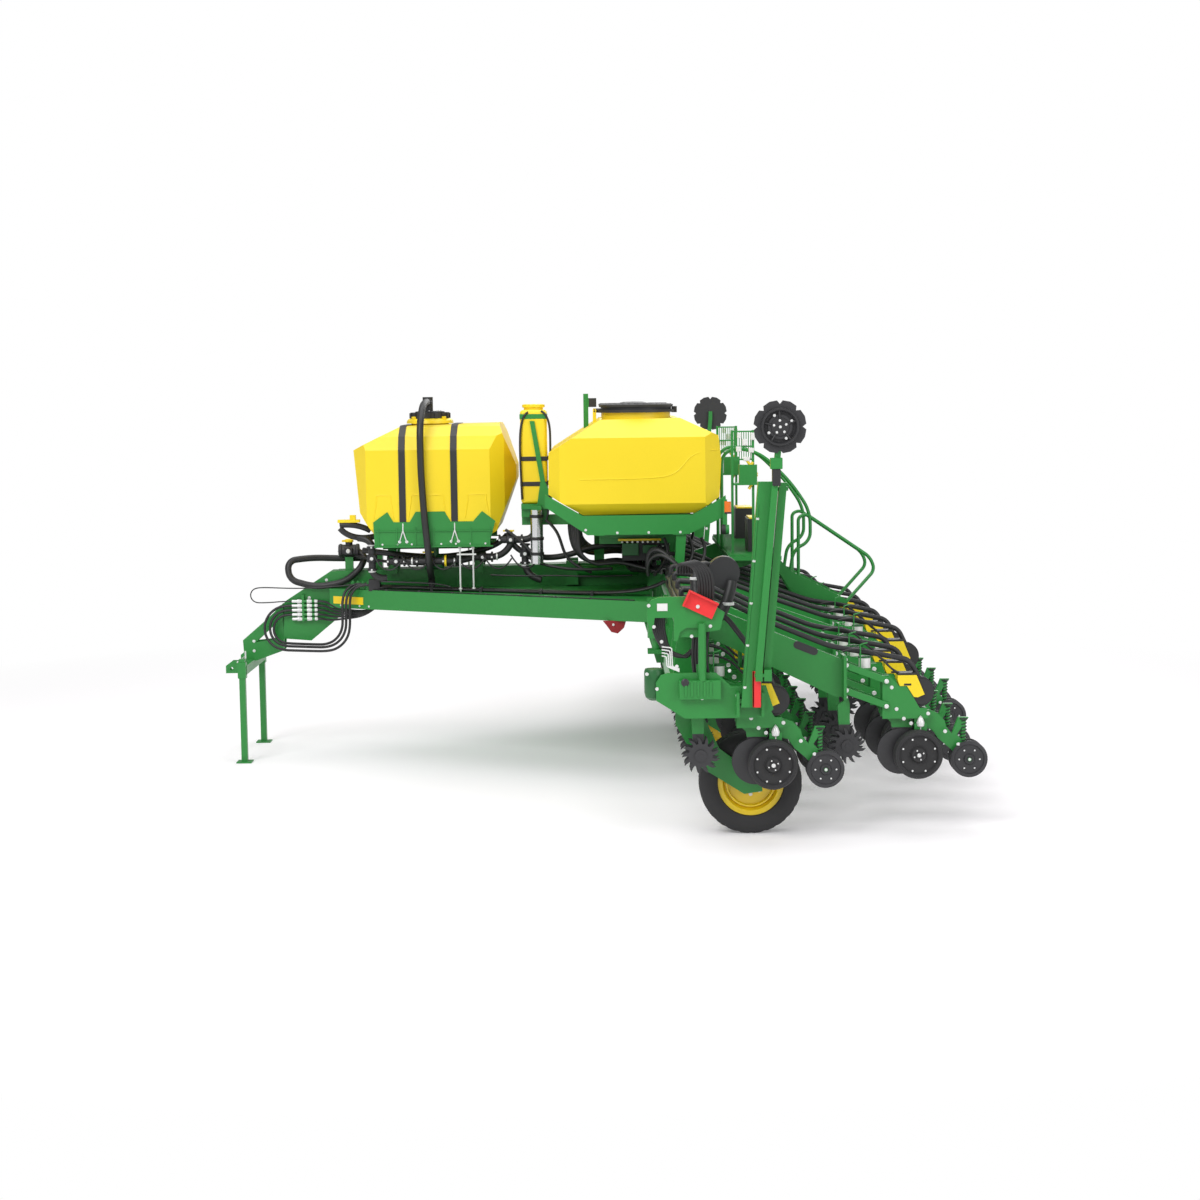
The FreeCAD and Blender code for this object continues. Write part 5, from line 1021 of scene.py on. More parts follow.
@dataclass
class TongueTrim:
    """What is fixed on the tongue and its rails: stripe, bolts, lines, valve and lock."""

    rail_front: float = -2.56
    rail_half: float = 0.22
    rail_slope: float = 0.54375
    valve: Point = (-2.37, -0.06, 2.071)

    def outside(self, x: float, proud: float = 0.0) -> float:
        """Give the Y of the left rail's outer face at an X."""
        return -(self.rail_half + (x - self.rail_front) * self.rail_slope + proud)

    def build(self) -> None:
        """Fit everything on the tongue."""
        self.stripe()
        self.rail_trim()
        self.coupler_lines()
        self.deck_lines()
        self.valve_parts()
        self.lock()
        self.hitch_pins()
        LOG.info("tongue trimmed")

    def stripe(self) -> None:
        """Put the plain yellow stripe on each rail."""
        plate = Shape()
        ends = [(x, self.outside(x, 0.004)) for x in (-2.52, -2.2)]
        corners = []
        for deep in (0.0, 0.006):
            for (x, y), z in ((ends[0], 1.55), (ends[1], 1.55), (ends[1], 1.625), (ends[0], 1.625)):
                corners.append(Vector((x, y + deep, z)))
        faces = [[0, 1, 2, 3], [7, 6, 5, 4], [0, 4, 5, 1], [1, 5, 6, 2], [2, 6, 7, 3], [3, 7, 4, 0]]
        plate.add(corners, faces)
        Fitting("rail_stripes", YELLOW, "frame", "yellow_paint").fit(plate.both())

    def rail_trim(self) -> None:
        """Put bolts on the tongue's gussets, and the clips and the thin line along each rail's top edge."""
        bolts, clips = Shape(), Shape()
        out = (self.rail_slope * -1, -1.0, 0.0)
        for n in range(8):
            x = -1.95 + 0.34 * n
            y = self.outside(x)
            clips.box((x - 0.014, y + 0.004, 1.698), (x + 0.014, y + 0.03, 1.716))
        Fitting("rail_clips", BLACK, "frame", "black_plastic").fit(clips.both(), 0.003)
        seam = [
            [(x, self.outside(x) * -side.value - 0.017 * side.value, 1.707) for x in (-2.1, -0.8, 0.5)]
            for side in Side]
        Fitting("rail_seams", HOSE, "frame", "black_hose").run(seam, 0.006, 2)
        for n in range(4):
            bolts.bolt((-2.44 + 0.1 * n, self.outside(-2.44 + 0.1 * n), 1.535), out, 0.0075)
        for x, z in ((-2.7, 1.72), (-2.78, 1.6), (-2.86, 1.5), (-2.6, 1.78)):
            bolts.bolt((x, -0.13, z), (0, -1, 0), 0.011)
        Fitting("tongue_bolts", ZINC, "frame", "green_paint").fit(bolts.both())

    def coupler_lines(self) -> None:
        """Lay the short lines from the couplers to the beam, and the sleeves on the couplers."""
        lines = []
        sleeves = Shape()
        for n in range(5):
            z = 1.57 - 0.045 * n
            lines.append([
                (-2.72, -0.175, z), (-2.64, -0.175, z), (-2.58, -0.2 - 0.01 * n, z - 0.01),
                (-2.5, -0.25 - 0.012 * n, 1.5 - 0.028 * n), (-2.36, -0.3 - 0.01 * n, 1.49 - 0.02 * n),
                (-2.2, -0.32, 1.47 - 0.012 * n), (-2.1, -0.3, 1.5)])
            for x in (-2.9, -2.8):
                sleeves.lathe(
                    [(0.015, 0), (0.021, 0.004), (0.021, 0.03), (0.017, 0.04), (0.017, 0.05), (0.015, 0.052)],
                    (x, -0.175, z), "X", 14)
            sleeves.cap((-2.72, -0.175, z), (1, 0, 0), 0.018, 0.03)
        Fitting("coupler_lines", HOSE, "frame", "black_hose").run(lines, 0.011)
        Fitting("coupler_sleeves", ZINC, "frame", "bright_steel").fit(sleeves)

    def deck_lines(self) -> None:
        """Lay hoses on the tongue's deck and clamp them."""
        lines = []
        for n in range(5):
            off = 0.03 * n
            lines.append([
                (-2.03, -0.33 - off, 1.735 - 0.004 * n), (-1.9, -0.35 - off, 1.73),
                (-1.5, -0.42 - off, 1.716), (-1.0, -0.62 - off, 1.712), (-0.4, -0.9 - off, 1.712),
                (0.1, -1.14 - off, 1.715), (0.5, -1.25 - off, 1.73), (0.7, -1.3 - off, 1.78),
                (0.8, -1.34 - off, 1.84)])
        lines += mirrored(lines[:3])
        Fitting("deck_lines", HOSE, "frame", "black_hose").run(lines, 0.0125)
        clamps = Shape()
        for x, y in ((-1.5, -0.48), (-1.0, -0.68), (-0.4, -0.96), (0.1, -1.2)):
            clamps.box((x - 0.015, y - 0.1, 1.69), (x + 0.015, y + 0.09, 1.733))
        Fitting("deck_clamps", BLACK, "frame", "black_plastic").fit(clamps.both(), 0.004)

    def valve_parts(self) -> None:
        """Dress the valve on the nose and the arched hose holders behind it."""
        x, y, z = self.valve
        body = Shape()
        flange = [(0.064, 0), (0.07, 0.006), (0.07, 0.026), (0.064, 0.032)]
        for along in (-0.1, 0.07):
            body.lathe(flange, (x + along, y, z), "X", 24)
        body.box((x - 0.04, y - 0.085, z - 0.035), (x + 0.04, y - 0.055, z + 0.035))
        Fitting("valve_flanges", BLACK, "frame", "black_plastic").fit(body, 0.003)
        top = Shape()
        knob = [(0.037, 0), (0.046, 0.004), (0.046, 0.024), (0.03, 0.032), (0, 0.034)]
        top.lathe(knob, (x, y, z + 0.086), "Z", 20)
        top.box((x - 0.07, y - 0.02, z + 0.09), (x + 0.04, y + 0.02, z + 0.108))
        Fitting("valve_knob", YELLOW_POLY, "frame", "yellow_poly").fit(top, 0.002)
        bright = Shape()
        bright.bolt_circle((x - 0.105, y, z), 0.05, 6, (-1, 0, 0), 0.006)
        bright.cap((x, y - 0.085, z), (0, -1, 0), 0.022, 0.012)
        Fitting("valve_bolts", ZINC, "frame", "bright_steel").fit(bright)
        arches = Shape()
        for n in range(4):
            left = -2.33 + 0.055 * n
            arches.plate([
                (left, 1.69), (left + 0.04, 1.69), (left + 0.04, 1.76), (left + 0.03, 1.785),
                (left + 0.01, 1.785), (left, 1.76)], self.outside(left) + 0.02, self.outside(left) + 0.035)
        Fitting("hose_arches", GREEN, "frame", "green_paint").fit(arches.both(), 0.002)

    def lock(self) -> None:
        """Hang the red lock under each rail, in a darker red that paints the shade under the rail."""
        plate = Shape()
        outline = [(0.2, 1.507), (0.42, 1.507), (0.4, 1.44), (0.34, 1.385), (0.28, 1.4), (0.23, 1.47)]
        plate.plate(outline, -1.78, -1.755)
        Fitting("rail_locks", SHADE_PAINTED_RED, "frame", "green_paint").fit(plate.both(), 0.004)
        pins = Shape()
        pins.cap((0.3, -1.78, 1.47), (0, -1, 0), 0.012, 0.01)
        Fitting("rail_lock_pins", ZINC, "frame", "bright_steel").fit(pins.both())

    def hitch_pins(self) -> None:
        """Put pins and bolts on the hitch bar's ears and eye."""
        pins = Shape()
        for y in (0.5, 0.38):
            pins.cap((-3.4, -y, 0.93), (0, -1, 0), 0.026, 0.014)
        for n in range(-5, 6):
            pins.bolt((-3.457, 0.048 + 0.096 * n, 1.0), (-1, 0, 0), 0.008)
        for z in (1.06, 1.16):
            pins.bolt((-3.36, -0.105, z), (0, -1, 0), 0.011)
        Fitting("hitch_pins", ZINC, "frame", "bright_steel").fit(pins.both())


@dataclass
class FrontTankTrim:
    """The front tank's straps, hooks, lid ribs, cradle ribs and pipes."""

    strap_places: tuple[float, float] = (-1.755, -1.245)
    strap_width: float = 0.065
    strap_low: float = 2.34
    lid: Point = (-1.523, 0.0, 3.462)

    def build(self) -> None:
        """Fit everything on and round the front tank."""
        self.straps()
        self.beads()
        self.lid_parts()
        self.cradle_ribs()
        self.pipes()
        LOG.info("front tank trimmed")

    def straps(self) -> None:
        """Lay the straps over the tank and hook them to the cradle."""
        tank = Surface("front_tank")
        straps = Shape()
        hooks = Shape()
        for x in self.strap_places:
            line = tank.band(x, (0.0, 2.75), self.strap_low, 0.008)
            band = ribbon(line, self.strap_width, 0.012)
            straps.add(band.corners, band.faces)
            for end in (line[0], line[-1]):
                side = -1 if end[1] < 0 else 1
                foot = (x, 0.742 * side, end[2] - 0.05)
                hooks.bar((x, end[1], end[2] + 0.02), foot, 0.006)
                for across in (-0.035, 0.035):
                    hooks.bar(foot, (x + across, 0.742 * side, 2.2), 0.006)
                    hooks.bolt((x + across, 0.734 * side, 2.2), (0, side, 0), 0.011)
        Fitting("tank_straps", BLACK, "frame", "black_plastic").fit(straps)
        Fitting("strap_hooks", ZINC, "frame", "bright_steel").fit(hooks)

    def lid_parts(self) -> None:
        """Dress the tank lid with ribs, clamps and the valve's bolts."""
        x, y, z = self.lid
        ribs = Shape()
        rib_low, rib_high = (-0.012, -0.016, -0.026), (0.012, 0.016, 0.026)
        ribs.box_circle((x, y, z - 0.032), 0.196, 16, rib_low, rib_high)
        ribs.lathe([(0.15, 0), (0.15, 0.008), (0.13, 0.012), (0.07, 0.014)], (x, y, z), "Z", 32)
        Fitting("tank_lid_ribs", BLACK, "frame", "black_plastic").fit(ribs, 0.002)
        dome = Shape()
        dome.lathe([(0.238, -0.11), (0.232, -0.08), (0.215, -0.064), (0.19, -0.058)], (x, y, z), "Z", 48)
        Fitting("tank_dome", YELLOW_POLY, "frame", "yellow_poly").fit(dome)
        clamps = Shape()
        clamp_low, clamp_high = (-0.012, -0.02, -0.03), (0.012, 0.02, 0.03)
        clamps.box_circle((x, y, z - 0.07), 0.215, 4, clamp_low, clamp_high, 0.5)
        Fitting("tank_lid_clamps", YELLOW_POLY, "frame", "yellow_poly").fit(clamps, 0.003)
        bolts = Shape()
        bolts.bolt_circle((x, y, z + 0.012), 0.11, 8, (0, 0, 1), 0.007)
        Fitting("tank_lid_bolts", ZINC, "frame", "bright_steel").fit(bolts)

    def beads(self) -> None:
        """Mould the beads round the recesses above the cradle."""
        tank = Surface("front_tank")
        routes = []
        for side in Side:
            for left, right in ((-2.04, -1.84), (-1.7, -1.32), (-1.14, -0.9)):
                outline = [(left, 2.43), (left + 0.03, 2.6), (left + 0.03, 2.66), (right - 0.03, 2.66),
                           (right - 0.03, 2.6), (right, 2.43)]
                spots = [tank.hit((x, 3.0 * side.value, z), (0, -side.value, 0), -0.001) for x, z in outline]
                routes.append([(spot.x, spot.y, spot.z) for spot in spots if spot])
        Fitting("tank_beads", YELLOW_POLY, "frame", "yellow_poly").run(routes, 0.006, 2)

    def cradle_ribs(self) -> None:
        """Rib the cradle's sides and bolt its flanges."""
        ribs = Shape()
        for n in range(7):
            x = -2.0 + 0.183 * n
            ribs.box((x - 0.006, -0.742, 2.15), (x + 0.006, -0.73, 2.34))
        ribs.box((-2.04, -0.752, 2.145), (-0.87, -0.73, 2.157))
        ribs.box((-2.03, -0.745, 2.3), (-0.88, -0.73, 2.308))
        Fitting("cradle_ribs", GREEN, "frame", "green_paint").fit(ribs.both())
        bolts = Shape()
        for n in range(8):
            bolts.bolt((-1.96 + 0.145 * n, -0.733, 2.175), (0, -1, 0), 0.007)
        Fitting("cradle_bolts", ZINC, "frame", "bright_steel").fit(bolts.both())

    def pipes(self) -> None:
        """Lay the suction pipes, the pump and the lever under and beside the tank."""
        fat = [
            [(-0.75, -0.45, 2.25), (-0.72, -0.47, 2.2), (-0.66, -0.5, 2.1), (-0.5, -0.5, 2.03),
             (-0.33, -0.5, 2.0), (-0.12, -0.5, 2.03), (0.06, -0.52, 2.1), (0.2, -0.55, 2.13),
             (0.4, -0.58, 2.12)],
            [(-2.1, -0.5, 2.3), (-2.2, -0.52, 2.36), (-2.31, -0.53, 2.37), (-2.4, -0.53, 2.36)],
            [(-2.4, -0.53, 2.33), (-2.33, -0.53, 2.24), (-2.2, -0.5, 2.21), (-2.06, -0.45, 2.24)],
            [(-2.2, -0.3, 2.09), (-1.9, -0.42, 2.06), (-1.6, -0.5, 2.03), (-1.3, -0.5, 2.03),
             (-1.0, -0.46, 2.08), (-0.8, -0.44, 2.16), (-0.74, -0.44, 2.24)],
        ]
        Fitting("suction_pipes", HOSE, "frame", "black_hose").run(fat, 0.03)
        thin = [
            [(-0.75, -0.62, 2.3), (-0.62, -0.66, 2.22), (-0.5, -0.68, 2.1), (-0.45, -0.72, 2.02)],
            [(-0.7, -0.6, 2.2), (-0.55, -0.62, 2.0), (-0.3, -0.66, 1.92), (0.0, -0.8, 1.9),
             (0.3, -0.95, 1.93)],
            [(-2.3, -0.1, 2.02), (-2.15, -0.3, 2.0), (-1.9, -0.5, 1.98), (-1.6, -0.58, 1.96),
             (-1.2, -0.55, 1.95)],
            [(-0.35, -0.7, 2.4), (-0.22, -0.72, 2.3), (-0.2, -0.72, 2.1), (-0.1, -0.74, 1.95),
             (0.1, -0.8, 1.88)],
        ]
        Fitting("thin_pipes", HOSE, "frame", "black_hose").run(thin, 0.015)
        pump = Shape()
        pump.lathe([(0, -0.1), (0.06, -0.1), (0.075, -0.08), (0.075, 0.08), (0.06, 0.1), (0, 0.1)],
                   (-1.47, -0.52, 1.98), "X", 24)
        pump.lathe([(0.05, 0), (0.05, 0.16), (0.0, 0.17)], (-1.47, -0.52, 2.0), "Z", 20)
        # The pump takes the darker copy of the green paint, as painted shade.
        Fitting("pump", SHADE_PAINTED_GREEN, "frame", "green_paint").fit(pump, 0.003)
        flange = Shape()
        flange.lathe([(0.05, 0), (0.085, 0.002), (0.085, 0.02), (0.05, 0.022)], (-1.54, -0.52, 1.98), "X", 24)
        flange.box((-2.42, -0.56, 2.385), (-2.2, -0.5, 2.415))
        flange.box((-2.3, -0.55, 2.4), (-2.24, -0.51, 2.46))
        Fitting("yellow_valves", YELLOW_POLY, "frame", "yellow_poly").fit(flange, 0.003)


@dataclass
class TankPlumbing:
    """The valves, elbows, clamps, rods and wires under and behind the front tank."""

    body_radius: float = 0.052
    throat: float = 0.036

    def build(self) -> None:
        """Fit the plumbing."""
        black, yellow, bright = Shape(), Shape(), Shape()
        for spot, axis, reach in (
                ((-1.5, -0.63, 2.0), "X", 0.14), ((-2.08, -0.6, 2.03), "Z", 0.12),
                ((-0.7, -0.6, 2.2), "X", 0.12), ((-0.56, -0.6, 2.06), "Z", 0.1),
                ((-1.84, -0.6, 2.0), "X", 0.09), ((-0.98, -0.58, 2.03), "X", 0.1)):
            self.valve(black, bright, spot, axis, reach)
        for x, y, z in ((-1.5, -0.63, 2.0), (-0.7, -0.6, 2.2)):
            black.bar((x, y, z + 0.05), (x, y, z + 0.082), 0.02)
            yellow.box((x - 0.075, y - 0.014, z + 0.08), (x + 0.035, y + 0.014, z + 0.096))
        yellow.lathe([(0.03, 0), (0.058, 0.003), (0.058, 0.02), (0.03, 0.024)], (-1.36, -0.63, 2.0), "X", 24)
        Fitting("valve_bodies", BLACK, "frame", "black_plastic").fit(black, 0.002)
        Fitting("valve_handles", YELLOW_POLY, "frame", "yellow_poly").fit(yellow, 0.002)
        Fitting("valve_screws", ZINC, "frame", "bright_steel").fit(bright)
        self.elbows()
        self.rods()
        self.wires()
        LOG.info("tank plumbing fitted")

    def valve(self, black: Shape, bright: Shape, spot: Point, axis: str, reach: float) -> None:
        """Add one valve body with a flange at each end and its screws.

        Args:
            black: The shape that takes the body.
            bright: The shape that takes the screws.
            spot: The body's middle.
            axis: The line that it lies along.
            reach: Half its length.
        """
        wide, thin = self.body_radius, self.throat
        black.lathe([(0, -reach), (wide, -reach), (wide, 0.018 - reach), (thin, 0.022 - reach),
                     (thin, -0.35 * reach), (wide, -0.3 * reach), (wide, 0.3 * reach),
                     (thin, 0.35 * reach), (thin, reach - 0.022), (wide, reach - 0.018),
                     (wide, reach), (0, reach)], spot, axis, 20)
        bright.bolt((spot[0], spot[1] - wide, spot[2]), (0, -1, 0), 0.012)
        for end in (-1, 1):
            along = end * (reach - 0.009)
            place = (spot[0] + along, spot[1] - wide, spot[2]) if axis == "X" else (
                spot[0], spot[1] - wide, spot[2] + along)
            bright.bolt(place, (0, -1, 0), 0.007)

    def elbows(self) -> None:
        """Join the valves with elbows and ribbed hose, and clamp the ends."""
        bends = [
            [(-2.08, -0.6, 1.92), (-2.08, -0.6, 1.86), (-2.02, -0.6, 1.83), (-1.94, -0.58, 1.83)],
            [(-2.08, -0.6, 2.14), (-2.08, -0.6, 2.2), (-2.14, -0.58, 2.23), (-2.22, -0.55, 2.23)],
            [(-1.64, -0.63, 2.0), (-1.72, -0.62, 2.0), (-1.76, -0.6, 2.0)],
            [(-1.36, -0.63, 2.0), (-1.27, -0.62, 1.99), (-1.17, -0.6, 2.0), (-1.08, -0.58, 2.03)],
            [(-0.88, -0.58, 2.03), (-0.8, -0.58, 2.04), (-0.74, -0.6, 2.08), (-0.7, -0.6, 2.16)],
            [(-0.58, -0.6, 2.2), (-0.5, -0.6, 2.2), (-0.46, -0.6, 2.24), (-0.46, -0.58, 2.32)],
            [(-0.56, -0.6, 1.97), (-0.56, -0.62, 1.88), (-0.5, -0.64, 1.82), (-0.4, -0.66, 1.8)],
        ]
        Fitting("elbows", HOSE, "frame", "black_hose").run(bends, 0.034)
        clamps = Shape()
        for spot, axis in (((-1.68, -0.625, 2.0), "X"), ((-1.26, -0.618, 1.99), "X"),
                           ((-2.08, -0.6, 1.9), "Z"), ((-2.08, -0.6, 2.16), "Z"),
                           ((-0.56, -0.602, 1.945), "Z"), ((-0.84, -0.58, 2.035), "X")):
            clamps.lathe([(0.034, -0.008), (0.039, -0.007), (0.039, 0.007), (0.034, 0.008)], spot, axis, 20)
        Fitting("elbow_clamps", ZINC, "frame", "bright_steel").fit(clamps)

    def rods(self) -> None:
        """Stand the steel rods between the cradle and the deck."""
        rods = Shape()
        for x in (-1.2, -1.07):
            rods.bar((x, -0.7, 1.7), (x, -0.7, 2.16), 0.009)
            for z in (1.72, 2.13):
                rods.cap((x, -0.7, z), (0, 0, 1), 0.018, 0.016)
        rods.box((-1.23, -0.715, 2.06), (-1.04, -0.685, 2.075))
        Fitting("cradle_rods", ZINC, "frame", "bright_steel").fit(rods.both())

    def wires(self) -> None:
        """Lead the thin wires and lines between the valves and along the deck."""
        wires = []
        for n in range(6):
            x = -2.05 + 0.27 * n
            wires.append([(x, -0.64, 2.05), (x + 0.05, -0.68, 1.96 + 0.01 * (n % 2)), (x + 0.13, -0.7, 1.9),
                          (x + 0.22, -0.69, 1.93), (x + 0.28, -0.66, 2.02)])
        wires.append([(-0.9, -0.7, 1.86), (-0.6, -0.72, 1.84), (-0.2, -0.74, 1.86), (0.1, -0.78, 1.83),
                      (0.5, -0.82, 1.85)])
        wires.append([(-2.0, -0.6, 1.8), (-1.7, -0.66, 1.79), (-1.4, -0.62, 1.78), (-1.3, -0.66, 1.74)])
        Fitting("tank_wires", HOSE, "frame", "black_hose").run(wires, 0.008)


@dataclass
class SlimTankTrim:
    """The slim tank's straps, cap and lines, and the drum's bands."""

    middle: tuple[float, float] = (-0.457, -0.52)
    half: tuple[float, float] = (0.13, 0.16)
    strap_heights: tuple[float, float] = (3.0, 2.752)

    def build(self) -> None:
        """Fit the slim tank's trim."""
        x, y = self.middle
        wide, deep = self.half
        straps = Shape()
        for z in self.strap_heights:
            outer = [(x - wide - 0.007, y - deep - 0.007), (x + wide + 0.007, y - deep - 0.007),
                     (x + wide + 0.007, y + deep + 0.007), (x - wide - 0.007, y + deep + 0.007)]
            straps.plate(outer, z - 0.022, z + 0.022, "Z")
        Fitting("slim_straps", BLACK, "frame", "black_plastic").fit(straps, 0.006)
        cap = Shape()
        cap.lathe([(0.096, 0), (0.112, 0.004), (0.112, 0.03), (0.096, 0.034)], (x, y, 3.5), "Z", 32)
        Fitting("slim_cap_ring", YELLOW_POLY, "frame", "yellow_poly").fit(cap, 0.002)
        band = Shape()
        band.box((x - wide - 0.004, y - deep - 0.004, 3.39), (x + wide + 0.004, y + deep + 0.004, 3.44))
        Fitting("slim_band", GREEN, "frame", "green_paint").fit(band, 0.006)
        lines = [
            [(x + 0.08, y - 0.17, 3.47), (x + 0.16, y - 0.18, 3.42), (x + 0.17, y - 0.18, 3.2),
             (x + 0.16, y - 0.18, 2.9), (x + 0.16, y - 0.18, 2.6), (x + 0.12, y - 0.19, 2.4)],
            [(x - 0.05, y - 0.17, 3.46), (x - 0.15, y - 0.17, 3.38), (x - 0.14, y - 0.175, 3.2),
             (x - 0.12, y - 0.175, 2.6)],
        ]
        Fitting("slim_lines", HOSE, "frame", "black_hose").run(lines, 0.011)
        bands = Shape()
        for z in (2.05, 2.2, 2.42):
            band = [(0.062, 0), (0.07, 0.003), (0.07, 0.03), (0.062, 0.033)]
            bands.lathe(band, (x + 0.02, y - 0.2, z), "Z", 28)
        Fitting("drum_bands", BLACK, "frame", "black_plastic").fit(bands)
        LOG.info("slim tank trimmed")


@dataclass
class HopperTrim:
    """The hoppers' beads, lid ribs, seed lines, lamps and manifold."""

    lid: tuple[float, float] = (0.552, 0.76)
    lid_top: float = 3.508

    def build(self) -> None:
        """Fit the hoppers' trim."""
        self.beads()
        for side in Side:
            self.lid_ribs(side)
        self.seed_lines()
        self.under_lines()
        self.manifold()
        self.lamps()
        LOG.info("hoppers trimmed")

    def beads(self) -> None:
        """Mould a bead round the panel on each hopper's side."""
        hoppers = Surface("seed_hoppers")
        line = [(0.0, 2.82), (0.3, 2.82), (0.65, 2.825), (0.85, 2.84), (0.95, 2.9), (1.02, 3.0),
                (1.1, 3.06), (1.2, 3.08), (1.3, 3.085)]
        routes = []
        for side in Side:
            route = []
            for x, z in line:
                spot = hoppers.hit((x, 3.0 * side.value, z), (0, -side.value, 0), -0.001)
                if spot:
                    route.append((spot.x, spot.y, spot.z))
            routes.append(route)
        Fitting("hopper_beads", YELLOW_POLY, "frame", "yellow_poly").run(routes, 0.007)

    def lid_ribs(self, side: Side) -> None:
        """Rib one hopper lid and give it its rim, latch and vent.

        Args:
            side: The side that the lid is on.
        """
        x, y = self.lid[0], self.lid[1] * side.value
        top = (x, y, self.lid_top)
        ribs = Shape()
        rib_low, rib_high = (-0.105, -0.005, -0.01), (0.105, 0.005, 0.012)
        ribs.box_circle((x, y, self.lid_top + 0.008), 0.245, 32, rib_low, rib_high)
        ribs.lathe([(0.36, -0.01), (0.365, 0.012), (0.34, 0.02), (0.33, 0.0)], top, "Z", 64)
        ribs.lathe([(0.14, 0), (0.135, 0.024), (0.1, 0.032), (0, 0.034)], top, "Z", 40)
        ribs.box((x + 0.35, y - 0.04, 3.44), (x + 0.4, y + 0.04, 3.5))
        Fitting(f"lid_ribs_{side.word}", BLACK, f"{side.word}_hopper_lid", "black_plastic").fit(ribs, 0.002)

    def under_lines(self) -> None:
        """Lay the harness and air lines under the hoppers."""
        routes = []
        for n in range(6):
            y = -0.5 - 0.11 * n
            routes.append([
                (-0.12 + 0.02 * n, y, 2.36), (-0.12 + 0.02 * n, y, 2.16),
                (-0.02, y - 0.03, 1.98 + 0.02 * n), (0.15, y, 1.95),
                (0.35, y + 0.02, 2.0 + 0.02 * (n % 2)), (0.55, y, 1.95), (0.75, y - 0.05, 1.9)])
        for n in range(4):
            x = 0.8 + 0.12 * n
            routes.append([(x, -1.2, 2.24), (x + 0.05, -1.22, 2.14), (x + 0.02, -1.26, 2.02),
                           (x - 0.05, -1.3, 1.94), (x - 0.1, -1.4, 1.9)])
        for n in range(7):
            y = -0.95 - 0.09 * n
            lift = 0.03 * (n % 3)
            routes.append([(0.64, y, 1.9), (0.62, y - 0.03, 2.02 + lift), (0.7, y - 0.08, 2.12 + lift),
                           (0.82, y - 0.15, 2.1), (0.92, y - 0.2, 2.0), (0.98, y - 0.22, 1.94)])
        routes += mirrored(routes)
        Fitting("under_lines", HOSE, "frame", "black_hose").run(routes, 0.016)

    def seed_lines(self) -> None:
        """Lead hoses from the meter boxes down to the bars' ducts."""
        routes = []
        for n in range(7):
            x = 0.44 + 0.045 * n
            y = -0.6 - 0.05 * n
            routes.append([
                (x, y, 2.02), (x, y - 0.02, 1.95), (x + 0.03, y - 0.06, 1.9), (x + 0.1, y - 0.14, 1.88),
                (0.76, y - 0.3, 1.93 + 0.008 * n), (0.84, y - 0.5, 1.97)])
        routes += mirrored(routes)
        Fitting("seed_lines", HOSE, "frame", "black_hose").run(routes, 0.022)

    def manifold(self) -> None:
        """Put the manifold strip, its box and the fittings in front of the meter boxes."""
        strip = Shape()
        strip.box((0.36, -1.01, 2.2), (0.78, -0.98, 2.222))
        Fitting("manifold_strips", YELLOW, "frame", "yellow_paint").fit(strip.both(), 0.003)
        box = Shape()
        box.box((0.4, -1.03, 2.06), (0.56, -0.97, 2.18))
        box.box((0.6, -1.02, 2.08), (0.74, -0.97, 2.16))
        # The manifold boxes take the darker copy of the green paint, as painted shade.
        Fitting("manifold_boxes", SHADE_PAINTED_GREEN, "frame", "green_paint").fit(box.both(), 0.006)
        studs = Shape()
        for n in range(8):
            studs.cap((0.4 + 0.05 * n, -1.01, 2.19), (0, -1, 0), 0.012, 0.014)
        for x, z in ((0.35, 2.31), (0.65, 2.31), (0.95, 2.31), (1.2, 2.34), (0.05, 2.34)):
            studs.bolt((x, -1.44, z), (0, -1, 0), 0.009)
        Fitting("hopper_studs", ZINC, "frame", "bright_steel").fit(studs.both())

    def lamps(self) -> None:
        """Put the lens and guard on each work lamp and the base on each amber lamp."""
        lens = Shape()
        lens.lathe([(0.04, 0.0), (0.038, 0.008), (0, 0.012)], (1.378, -1.454, 2.331), "X", 24)
        Fitting("work_lamp_lenses", LENS, "frame", "bright_steel").fit(lens.both())
        guard = Shape()
        for n in range(-3, 4):
            guard.box((1.386, -1.494, 2.329 + 0.011 * n), (1.392, -1.414, 2.332 + 0.011 * n))
        base = [(0.03, 0), (0.036, 0.003), (0.036, 0.014), (0.03, 0.018)]
        guard.lathe(base, (1.403, -1.454, 2.48), "Z", 20)
        Fitting("lamp_guards", BLACK, "frame", "black_plastic").fit(guard.both())


